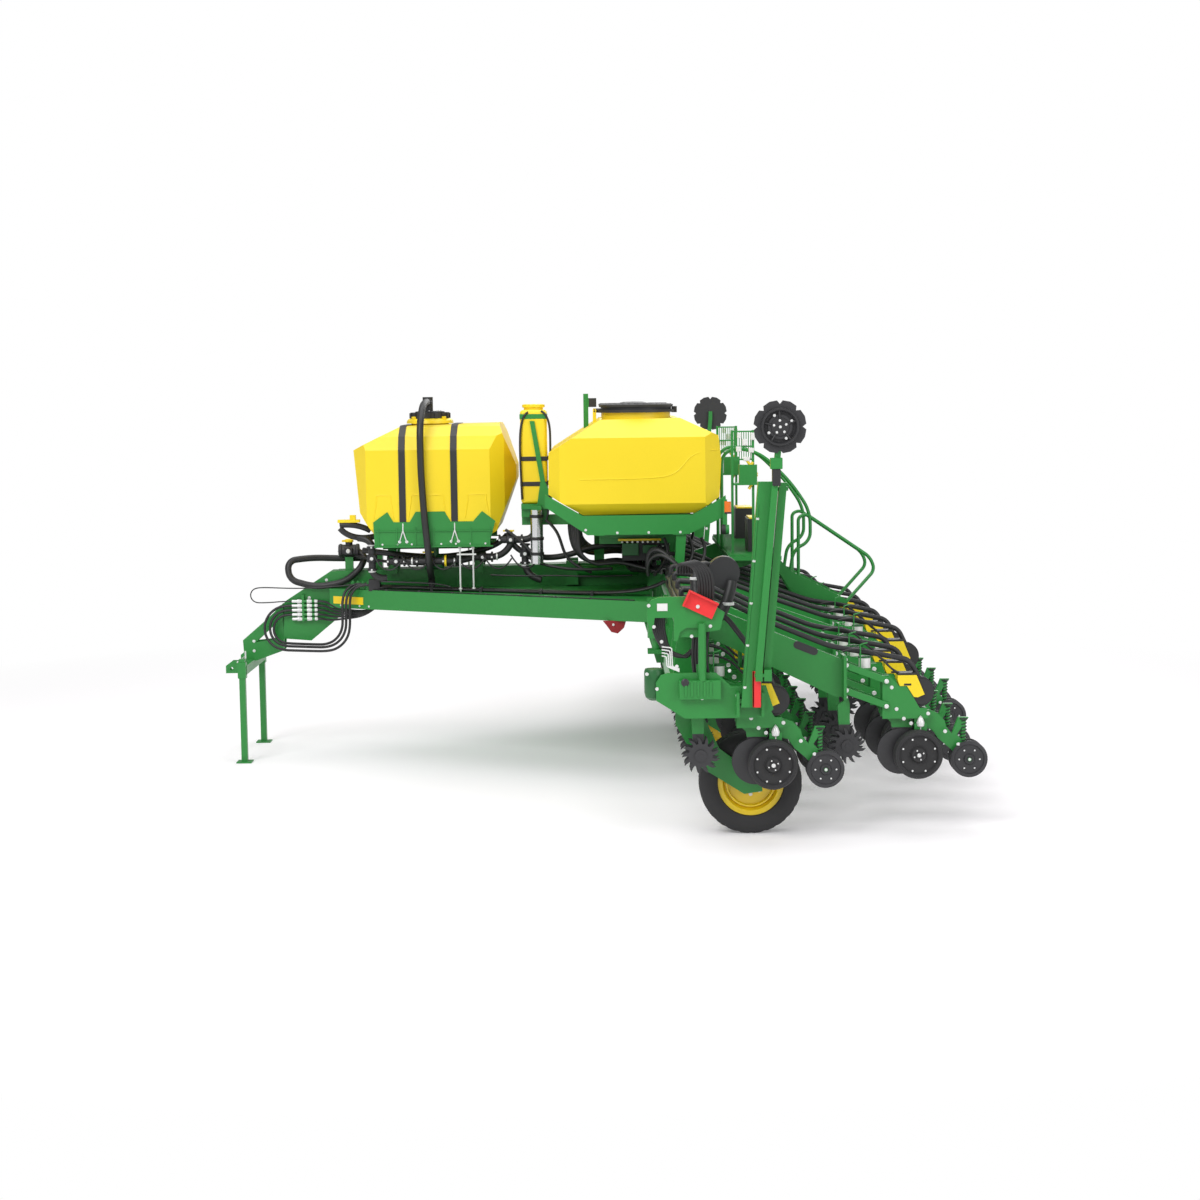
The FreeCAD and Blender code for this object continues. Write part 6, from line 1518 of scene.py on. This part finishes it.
@dataclass
class RowTrim:
    """The bolts, pivots, springs, handles, covers and small hoses of the row units.

    The harness stays inside marker_side, where the marker's rod swings by. The axles are
    measured from the bar's face, as X and Z.
    """

    word: str
    marker_side: float = 4.6
    gauge_axle: tuple[float, float] = (0.611, 0.65)
    gauge_face: float = 0.167
    closing_axle: tuple[float, float] = (1.04, 0.596)
    closing_face: float = 0.08

    def build(self) -> None:
        """Fit the trim of one section's row units."""
        spots = row_spots(self.word)
        body = section_body(self.word)
        for name, finish, slot, shape, edge in (
                ("row_pivots", ZINC, "bright_steel", self.pivots(), 0.0),
                ("row_springs", BLACK, "black_plastic", self.springs(), 0.0),
                ("row_covers", BLACK, "black_plastic", self.covers(), 0.003),
                ("row_brackets", GREEN, "green_paint", self.brackets(), 0.002),
                # The pod caps take the darker copy of the green paint, as painted shade.
                ("pod_caps", SHADE_PAINTED_GREEN, "green_paint", self.pod_caps(), 0.0)):
            Fitting(f"{name}_{self.word}", finish, body, slot).fit(shape.repeated(spots), edge)
        routes = []
        for x, y, _ in spots:
            for n in (-1, 1):
                if abs(y + 0.06 * n) > self.marker_side:
                    continue
                routes.append([
                    (x, y + 0.035 * n, 1.5), (x + 0.1, y + 0.05 * n, 1.53),
                    (x + 0.26, y + 0.06 * n, 1.5), (x + 0.36, y + 0.055 * n, 1.4),
                    (x + 0.42, y + 0.05 * n, 1.33), (x + 0.47, y + 0.03 * n, 1.31)])
        Fitting(f"row_harness_{self.word}", HOSE, body, "black_hose").run(routes, 0.009)
        self.wheel_bolts("front", FRONT_FACE, FRONT_ROWS[self.word])
        self.wheel_bolts("rear", REAR_FACES[self.word], REAR_ROWS[self.word])
        LOG.info("row units trimmed: %s", self.word)

    def pivots(self) -> Shape:
        """Give the white pivot caps, casting bolts and gauge handle of one row.

        Returns:
            Their shape, measured from the row's bar.
        """
        caps = Shape()
        for side in (-1, 1):
            for x, z in ((0.025, 1.392), (0.354, 1.255), (0.025, 1.184), (0.354, 1.047)):
                caps.cap((x, 0.089 * side, z), (0, side, 0), 0.019, 0.012)
            for x, z in ((0.4, 1.2), (0.44, 1.02), (0.5, 0.94), (0.56, 0.9), (0.7, 0.98), (0.84, 0.83),
                         (0.95, 0.72)):
                caps.bolt((x, 0.067 * side, z), (0, side, 0), 0.011)
            for x, z in ((0.012, 1.44), (0.012, 1.13)):
                caps.bolt((x + 0.012, 0.1 * side, z), (1, 0, 0), 0.01)
            caps.bolt_circle((0.033, 0.069 * side, 0.72), 0.03, 5, (0, side, 0), 0.006)
        caps.lathe([(0.008, 0), (0.03, 0.01), (0.034, 0.04), (0.02, 0.075), (0.0, 0.1)],
                   (0.635, -0.085, 0.87), "Z", 12)
        caps.bar((0.635, -0.085, 0.82), (0.635, -0.085, 0.88), 0.007)
        return caps

    def springs(self) -> Shape:
        """Give the coil round the closing arm's rod and the cap on its top, of one row.

        Returns:
            Their shape, measured from the row's bar.
        """
        coil = Shape()
        turns, steps, radius = 7, 9, 0.027
        last: Vector | None = None
        for n in range(turns * steps + 1):
            angle = 2 * math.pi * n / steps
            height = 0.725 + 0.19 * n / (turns * steps)
            spot = Vector((1.0 + radius * math.cos(angle), radius * math.sin(angle), height))
            if last is not None:
                coil.bar(tuple(last), tuple(spot), 0.0045, 5)
            last = spot
        coil.lathe([(0.04, 0), (0.04, 0.01), (0, 0.012)], (1.0, 0.0, 0.92), "Z", 16)
        return coil

    def covers(self) -> Shape:
        """Give the black lid, latch and ribs on one yellow cover and its round housing.

        Returns:
            Their shape, measured from the row's bar.
        """
        lid = Shape()
        lid.plate([(0.45, 1.3), (0.604, 1.3), (0.6, 1.318), (0.455, 1.318)], -0.066, 0.066)
        for side in (-1, 1):
            lid.lathe([(0.11, 0), (0.108, 0.01 * side), (0.03, 0.012 * side), (0, 0.012 * side)],
                      (0.64, 0.04 * side, 1.16), "Y", 24)
            lid.box((0.5, 0.07 * side - 0.008, 1.215), (0.56, 0.07 * side + 0.008, 1.232))
        return lid

    def brackets(self) -> Shape:
        """Give the hose hook and the small brackets of one row.

        Returns:
            Their shape, measured from the row's bar.
        """
        hook = Shape()
        hook.bar((0.14, -0.085, 1.36), (0.14, -0.085, 1.56), 0.006)
        hook.bar((0.14, -0.085, 1.56), (0.2, -0.07, 1.575), 0.006)
        hook.box((0.585, -0.09, 0.8), (0.685, -0.08, 0.9))
        hook.box((0.62, 0.07, 0.8), (0.68, 0.082, 0.95))
        return hook

    def pod_caps(self) -> Shape:
        """Give the disc on top of one actuator pod.

        Returns:
            Its shape, measured from the row's bar.
        """
        disc = Shape()
        outline = [(0.049, 0), (0.052, 0.004), (0.05, 0.014), (0.02, 0.018), (0, 0.018)]
        disc.lathe(outline, (0.185, 0, 1.441), "Z", 20)
        return disc

    def wheel_bolts(self, row: str, face: float, rows: tuple[float, ...]) -> None:
        """Bolt the gauge and closing wheels of one row of units.

        Args:
            row: Whether it is the front or the rear row.
            face: The X of the bar's face.
            rows: The rows' numbers along the bar.
        """
        gauge, closing, discs, hubs = Shape(), Shape(), Shape(), Shape()
        for side in (-1, 1):
            out = (0, side, 0)
            x, z = self.gauge_axle
            y = self.gauge_face * side
            middle = (x, y, z)
            gauge.cap((x, y + 0.006 * side, z), out, 0.017, 0.012)
            gauge.bolt_circle(middle, 0.14, 8, out, 0.0055, 0.5)
            gauge.bolt_circle(middle, 0.04, 4, out, 0.0045, 0.25)
            ring = [(0.178, 0), (0.176, 0.003 * side), (0.168, 0.003 * side), (0.166, 0)]
            discs.lathe(ring, middle)
            discs.lathe([(0.03, 0), (0.028, 0.007 * side), (0, 0.007 * side)], middle)
            x, z = self.closing_axle
            y = self.closing_face * side
            closing.cap((x, y + 0.004 * side, z), out, 0.014, 0.01)
            closing.bolt_circle((x, y, z), 0.085, 6, out, 0.005)
            hubs.lathe([(0.03, 0), (0.027, 0.005 * side), (0, 0.006 * side)], (x, y, z))
        spots = [(face, number * PITCH, 0.0) for number in rows]
        for name, finish, kind, slot, shape in (
                ("gauge_bolts", ZINC, "gauge", "bright_steel", gauge),
                ("gauge_rings", BLACK, "gauge", "wheel_rubber", discs),
                ("closing_bolts", ZINC, "closing", "bright_steel", closing),
                ("closing_hubs", BLACK, "closing", "dark_steel", hubs)):
            body = row_body(self.word, kind, row)
            Fitting(f"{name}_{self.word}_{row}", finish, body, slot).fit(shape.repeated(spots))


@dataclass
class TransportWheels:
    """The treaded tyres, rim rings and wheel bolts of the transport wheels."""

    side: Side
    centre: tuple[float, float] = (1.398, 0.425)
    radius: float = 0.425
    half_width: float = 0.12

    def build(self) -> None:
        """Build the tyres and rim trim of one side."""
        word = self.side.word
        self.wheels("wing", f"{word}_wing_wheel", (4.19,))
        self.wheels("centre", f"{word}_centre_wheels", (0.381, 1.143))
        LOG.info("transport wheels built: %s", word)

    def wheels(self, place: str, body: str, offsets: tuple[float, ...]) -> None:
        """Build the tyres and rim trim on one axle.

        Args:
            place: The axle's place, as its nodes have it.
            body: The body that turns.
            offsets: The wheels' distances from the middle plane.
        """
        word = self.side.word
        tyres, rings, bolts = Shape(), Shape(), Shape()
        for offset in offsets:
            middle = (self.centre[0], offset * self.side.value, self.centre[1])
            self.tyre(tyres, middle)
            for way in (-1, 1):
                for ring_radius, deep in ((0.262, 0.086), (0.2, 0.07)):
                    low, high = (deep - 0.012) * way, deep * way
                    rings.lathe([(ring_radius, low), (ring_radius + 0.006, high),
                                 (ring_radius - 0.006, high), (ring_radius - 0.012, low)], middle)
                face = (middle[0], middle[1] + 0.055 * way, middle[2])
                bolts.bolt_circle(face, 0.1, 8, (0, way, 0), 0.011, height=0.014)
        tyre = Fitting(f"treaded_tyre_{place}_{word}", RUBBER, body, "tyre_rubber").fit(tyres)
        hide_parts(f"tyre_{place}_{word}")
        Fitting(f"rim_rings_{place}_{word}", YELLOW, body, "yellow_paint").fit(rings)
        Fitting(f"wheel_bolts_{place}_{word}", ZINC, body, "bright_steel").fit(bolts)

    def tyre(self, shape: Shape, middle: Point, sides: int = 96) -> None:
        """Add one tyre with ribs round its tread and blocks on its shoulders.

        Args:
            shape: The shape to add to.
            middle: The wheel's middle.
            sides: The steps round the tyre.
        """
        r, w = self.radius, self.half_width
        half = [
            (0.272, -w + 0.028), (0.278, -w + 0.01), (0.3, -w + 0.002), (0.34, -w), (0.375, -w + 0.006),
            (0.4, -w + 0.018), (r - 0.01, -w + 0.024), (r - 0.002, -w + 0.034), (r, -w + 0.058),
            (r - 0.009, -w + 0.062), (r - 0.009, -w + 0.07), (r, -w + 0.074), (r, -0.01),
            (r - 0.009, -0.006)]
        profile = half + [(radius, -along) for radius, along in reversed(half)]
        corners: list[Vector] = []
        for n in range(sides):
            angle = 2 * math.pi * n / sides
            notch = n % 4 == 0
            for k, (radius, along) in enumerate(profile):
                shoulder = k in (6, 7, 8, len(profile) - 9, len(profile) - 8, len(profile) - 7)
                reach = radius - (0.005 if notch and shoulder else 0.0)
                spot = (reach * math.cos(angle), along, reach * math.sin(angle))
                corners.append(Vector(middle) + Vector(spot))
        count = len(profile)
        faces = []
        for n in range(sides):
            for k in range(count):
                a, b = n * count + k, n * count + (k + 1) % count
                c, d = ((n + 1) % sides) * count + (k + 1) % count, ((n + 1) % sides) * count + k
                faces.append([a, b, c, d])
        shape.add(corners, faces)


@dataclass
class MarkerTrim:
    """The hub, bolts, edge strips and plates on one marker."""

    side: Side

    def build(self) -> None:
        """Fit the trim of one marker."""
        word, way = self.side.word, self.side.value
        low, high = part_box(f"marker_disc_{word}")
        face = low.y if way < 0 else high.y
        x, z = (low.x + high.x) / 2, (low.z + high.z) / 2
        hub, bolts = Shape(), Shape()
        hub.lathe([(0.075, 0), (0.07, 0.006 * way), (0.03, 0.009 * way), (0, 0.009 * way)], (x, face, z))
        hub.lathe([(0.152, 0), (0.147, 0.02 * way), (0.132, 0.022 * way), (0.122, 0.004 * way), (0.12, 0)],
                  (x, face, z))
        for n in range(5):
            angle = 2 * math.pi * (n + 0.3) / 5
            near, far = [(x + reach * math.cos(angle), face + 0.004 * way, z + reach * math.sin(angle))
                         for reach in (0.07, 0.125)]
            hub.bar(near, far, 0.008, 8)
        for count, reach, radius in ((4, 0.1, 0.008), (5, 0.05, 0.007), (1, 0.0, 0.012)):
            bolts.bolt_circle((x, face + 0.006 * way, z), reach, count, (0, way, 0), radius, 0.3)
        body = f"{word}_marker_disc"
        Fitting(f"marker_hub_{word}", BLACK, body, "dark_steel").fit(hub)
        Fitting(f"marker_hub_bolts_{word}", ZINC, body, "bright_steel").fit(bolts)
        self.arm_strips()
        self.head(x, face, z)
        LOG.info("marker trimmed: %s", word)

    def head(self, x: float, face: float, z: float) -> None:
        """Put the cap and the black block below the marker's disc.

        Args:
            x: The disc's X.
            face: The Y of its outer face.
            z: Its height.
        """
        word, way = self.side.word, self.side.value
        near, far = sorted((face - 0.02 * way, face - 0.09 * way))
        cap, block = Shape(), Shape()
        cap.box((x - 0.075, near, z - 0.33), (x + 0.02, far, z - 0.24))
        block.box((x - 0.06, near - 0.004, z - 0.46), (x + 0.005, far + 0.004, z - 0.33))
        Fitting(f"marker_cap_{word}", GREEN, f"{word}_marker_outer", "green_paint").fit(cap, 0.006)
        Fitting(f"marker_block_{word}", BLACK, f"{word}_marker_outer", "black_plastic").fit(block, 0.006)

    def arm_strips(self) -> None:
        """Put the raised edge strips and the bolts on the marker's inner arm."""
        word, way = self.side.word, self.side.value
        arm = Surface(f"marker_inner_{word}")
        bolts = Shape()
        edges: tuple[list[Point], list[Point]] = ([], [])
        for n in range(14):
            z = 1.3 + 1.45 * n / 13
            found = []
            for k in range(80):
                x = 1.2 + 0.006 * k
                spot = arm.hit((x, 5.3 * way, z), (0, -way, 0), 0.0)
                if spot and abs(spot.y) > 4.8:
                    found.append(spot)
            if len(found) > 4:
                edges[0].append((found[0].x + 0.012, found[0].y + 0.002 * way, z))
                edges[1].append((found[-1].x - 0.012, found[-1].y + 0.002 * way, z))
                if n % 3 == 0:
                    for spot in (found[2], found[-3]):
                        bolts.bolt((spot.x, spot.y, z), (0, way, 0), 0.009)
        strips = [edge for edge in edges if len(edge) > 3]
        body = f"{word}_marker_inner"
        if strips:
            Fitting(f"marker_edges_{word}", GREEN, body, "green_paint").run(strips, 0.006, 2)
        Fitting(f"marker_bolts_{word}", ZINC, body, "bright_steel").fit(bolts)


@dataclass
class WingEndTrim:
    """The locks, hoses, ducts, can and steel lines at the end of one wing."""

    side: Side

    def build(self) -> None:
        """Fit the trim at one wing's end, made for the left side and mirrored for the right."""
        self.locks()
        self.hoses()
        self.can_and_lines()
        self.bar_hoses()
        self.shade_the_beam_slots()
        LOG.info("wing end trimmed: %s", self.side.word)

    def shade_the_beam_slots(self) -> None:
        """Paint the shade inside the slot in the side of the outermost rear beam, as a thin charcoal plate on
        the beam's face.
        """
        bar = Surface(f"wing_toolbar_{self.side.word}")
        found = bar.hit((1.86, 5.4 * self.side.value, 1.53), (0, -self.side.value, 0), 0.002)
        if found is None:
            return
        slot = Shape()
        outline = []
        for end, start in ((1, -90), (-1, 90)):
            for n in range(7):
                angle = math.radians(start + 30 * n)
                outline.append((0.075 * end + 0.032 * math.cos(angle), 0.032 * math.sin(angle)))
        lean = math.radians(-22)
        across, along = math.cos(lean), math.sin(lean)
        turned = [(found.x + a * across - b * along, found.z + a * along + b * across) for a, b in outline]
        # The charcoal plate is painted shade, standing for the dark inside of the slot.
        slot.plate(turned, *sorted((found.y, found.y - 0.004 * self.side.value)))
        Fitting(f"beam_slot_{self.side.word}", CHARCOAL, f"{self.side.word}_wing", "green_paint").fit(slot)

    def place(self, name: str, finish: Finish, slot: str, shape: Shape, soften: float = 0.0) -> None:
        """Fit a shape made for the left wing on this wing.

        Args:
            name: The piece's name without its side.
            finish: Its finish.
            slot: Its material slot.
            shape: Its shape on the left side.
            soften: How far to round its edges.
        """
        word = self.side.word
        whole = shape if self.side is Side.LEFT else shape.mirrored()
        Fitting(f"{name}_{word}", finish, f"{word}_wing", slot).fit(whole, soften)

    def lay(self, name: str, finish: Finish, slot: str, routes: list[list[Point]], radius: float,
            order: int = 4) -> None:
        """Lay hoses made for the left wing on this wing.

        Args:
            name: The piece's name without its side.
            finish: Their finish.
            slot: Their material slot.
            routes: Their routes on the left side.
            radius: Their radius.
            order: The smoothness of the lines; 2 keeps straight runs.
        """
        way = -self.side.value
        turned = [[(x, y * way, z) for x, y, z in route] for route in routes]
        Fitting(f"{name}_{self.side.word}", finish, f"{self.side.word}_wing", slot).run(turned, radius, order)

    def locks(self) -> None:
        """Fold the red lock's lip and put its pin and the end plate's bolts in."""
        lip = Shape()
        fold = [(0.826, 1.949), (0.884, 2.076), (1.117, 1.964), (1.112, 1.95), (0.89, 2.058), (0.838, 1.945)]
        lip.plate(fold, -4.79, -4.75)
        self.place("lock_lip", RED, "green_paint", lip, 0.003)
        lower = Shape()
        lower.box((1.375, -4.862, 1.14), (1.44, -4.84, 1.43))
        lower.box((1.375, -4.862, 1.14), (1.388, -4.83, 1.43))
        word = self.side.word
        plate = lower if self.side is Side.LEFT else lower.mirrored()
        Fitting(f"marker_lock_{word}", RED, f"{word}_marker_inner", "green_paint").fit(plate, 0.003)
        pins = Shape()
        pins.cap((0.95, -4.75, 1.94), (0, -1, 0), 0.016, 0.014)
        for x, z in ((0.56, 1.95), (0.6, 1.78), (0.66, 1.66), (0.9, 1.7), (1.05, 1.78), (0.54, 1.4),
                     (0.62, 1.28), (0.78, 1.46), (1.2, 1.42), (1.26, 1.22), (0.98, 1.2)):
            pins.bolt((x, -4.727, z), (0, -1, 0), 0.01)
        self.place("end_bolts", ZINC, "bright_steel", pins)
        blank = Shape()
        blank.box((0.626, -4.731, 1.906), (0.71, -4.72, 1.966))
        self.place("blank_plate", WHITE, "bright_steel", blank, 0.002)

    def hoses(self) -> None:
        """Lay the looped hoses and the air ducts beside the fan housing."""
        coil = []
        for n in range(6):
            off = 0.022 * n
            coil.append([
                (0.8 + off, -4.62, 2.2), (0.78 + off, -4.68, 2.26 + 0.01 * n), (0.84 + off, -4.72, 2.3),
                (0.95 + off, -4.72, 2.24), (0.97 + off, -4.71, 2.08), (0.95 + off, -4.68, 1.9),
                (0.92 + off, -4.66, 1.7), (0.9 + off, -4.66, 1.5), (0.93 + off, -4.68, 1.36)])
        self.lay("end_hoses", HOSE, "black_hose", coil, 0.013)
        bay = []
        for n in range(6):
            off = 0.018 * n
            bay.append([
                (0.6 + off, -4.6 - 0.012 * n, 1.9), (0.58 + off, -4.64, 1.8),
                (0.62 + off, -4.66, 1.66 - 0.02 * n), (0.7 + off, -4.67, 1.56),
                (0.84 + off / 2, -4.66, 1.5), (0.9, -4.62, 1.58)])
        self.lay("bay_hoses", HOSE, "black_hose", bay, 0.012)
        ducts = [
            [(1.12, -4.3, 2.18), (1.02, -4.34, 2.25), (0.95, -4.42, 2.2), (0.94, -4.5, 2.05),
             (0.98, -4.55, 1.9)],
            [(1.24, -4.46, 2.1), (1.22, -4.52, 2.0), (1.16, -4.56, 1.86), (1.08, -4.58, 1.78)],
        ]
        self.lay("end_ducts", HOSE, "black_hose", ducts, 0.048)
        bands = Shape()
        for spot in ((0.955, -4.46, 2.14), (1.2, -4.54, 1.94)):
            bands.lathe([(0.05, -0.012), (0.054, -0.01), (0.054, 0.01), (0.05, 0.012)], spot, "Z", 24)
        self.place("duct_bands", ZINC, "bright_steel", bands)

    def can_and_lines(self) -> None:
        """Put the round-bottomed can, the bent steel lines and the ribbed box on the end plate."""
        can = Shape()
        side = [(0, 0), (0.04, 0.006), (0.07, 0.03), (0.08, 0.07), (0.08, 0.24), (0.072, 0.26), (0, 0.262)]
        can.lathe(side, (0.6, -4.62, 1.17), "Z", 28)
        # The filter can takes the darker copy of the green paint, as painted shade.
        self.place("filter_can", SHADE_PAINTED_GREEN, "green_paint", can)
        lines = []
        for n in range(4):
            off = 0.024 * n
            lines.append([(0.66, -4.73, 1.62 - off), (0.74 - off * 0.6, -4.73, 1.61 - off),
                          (0.745 - off * 0.6, -4.73, 1.46), (0.8, -4.73, 1.44 - off * 0.3)])
        self.lay("steel_lines", ZINC, "bright_steel", lines, 0.0055, 2)
        box = Shape()
        for n in range(5):
            box.box((0.84 + 0.05 * n, -4.79, 1.22), (0.855 + 0.05 * n, -4.778, 1.34))
        self.place("box_ribs", GREEN, "green_paint", box)
        # Painted shade: a charcoal cap stands for the dark inside of the hole in the box.
        hole = Shape()
        hole.cap((0.843, -4.775, 1.336), (0, -1, 0), 0.032, 0.017)
        self.place("box_hole_shade", CHARCOAL, "green_paint", hole)

    def bar_hoses(self) -> None:
        """Lay the bundle of hoses along the wing's upper bar."""
        routes = []
        for n in range(5):
            z = 1.9 + 0.028 * (n % 3)
            x = 0.79 + 0.03 * (n // 3) + 0.02 * (n % 2)
            routes.append([(x + 0.008 * math.sin(3.0 * n + 2.1 * k), -4.6 + 0.27 * k,
                            z + 0.012 * math.cos(1.7 * n + 1.3 * k)) for k in range(10)])
        self.lay("bar_hoses", HOSE, "black_hose", routes, 0.014)


@dataclass
class PlatformTrim:
    """The grating, the grille's blocks and bars, and the deck boxes' lids."""

    def build(self) -> None:
        """Fit the platform's trim."""
        grate = Shape()
        for n in range(-35, 36):
            grate.box((1.42, 0.04 * n - 0.003, 2.07), (1.906, 0.04 * n + 0.003, 2.088))
        for n in range(5):
            grate.box((1.45 + 0.105 * n, -1.43, 2.072), (1.456 + 0.105 * n, 1.43, 2.084))
        Fitting("deck_grating", GREEN, "frame", "green_paint").fit(grate)
        blocks = Shape()
        for x, z, wide, high in ((1.5, 3.06, 0.05, 0.05), (1.56, 3.12, 0.045, 0.06),
                                 (1.62, 3.05, 0.05, 0.045), (1.57, 2.97, 0.06, 0.04),
                                 (1.51, 3.19, 0.04, 0.05), (1.64, 3.17, 0.04, 0.07)):
            blocks.box((x, -1.24, z), (x + wide, -1.2, z + high))
        Fitting("grille_blocks", WHITE, "frame", "bright_steel").fit(blocks.both(), 0.004)
        links = Shape()
        for start, end in (((1.6, 2.98), (1.7, 2.84)), ((1.7, 2.84), (1.62, 2.7)),
                           ((1.66, 2.96), (1.6, 2.8))):
            links.bar((start[0], -1.22, start[1]), (end[0], -1.22, end[1]), 0.014, 8)
        Fitting("grille_links", YELLOW, "frame", "yellow_paint").fit(links.both())
        lids = Shape()
        lids.box((1.63, -1.1, 2.404), (1.8, -0.7, 2.42))
        Fitting("deck_box_lids", YELLOW_POLY, "frame", "yellow_poly").fit(lids.both(), 0.005)
        LOG.info("platform trimmed")


def main() -> None:
    """Build the planter's looks, one sub-assembly after the other."""
    logging.basicConfig(level=logging.INFO, format="%(message)s")
    Studio().build()
    HitchHoses().build()
    NodeFinishes().build()
    TongueTrim().build()
    FrontTankTrim().build()
    TankPlumbing().build()
    SlimTankTrim().build()
    HopperTrim().build()
    for word in SECTIONS:
        RowTrim(word).build()
    for side in Side:
        TransportWheels(side).build()
        MarkerTrim(side).build()
        WingEndTrim(side).build()
    PlatformTrim().build()


if __name__ == "__main__":
    main()
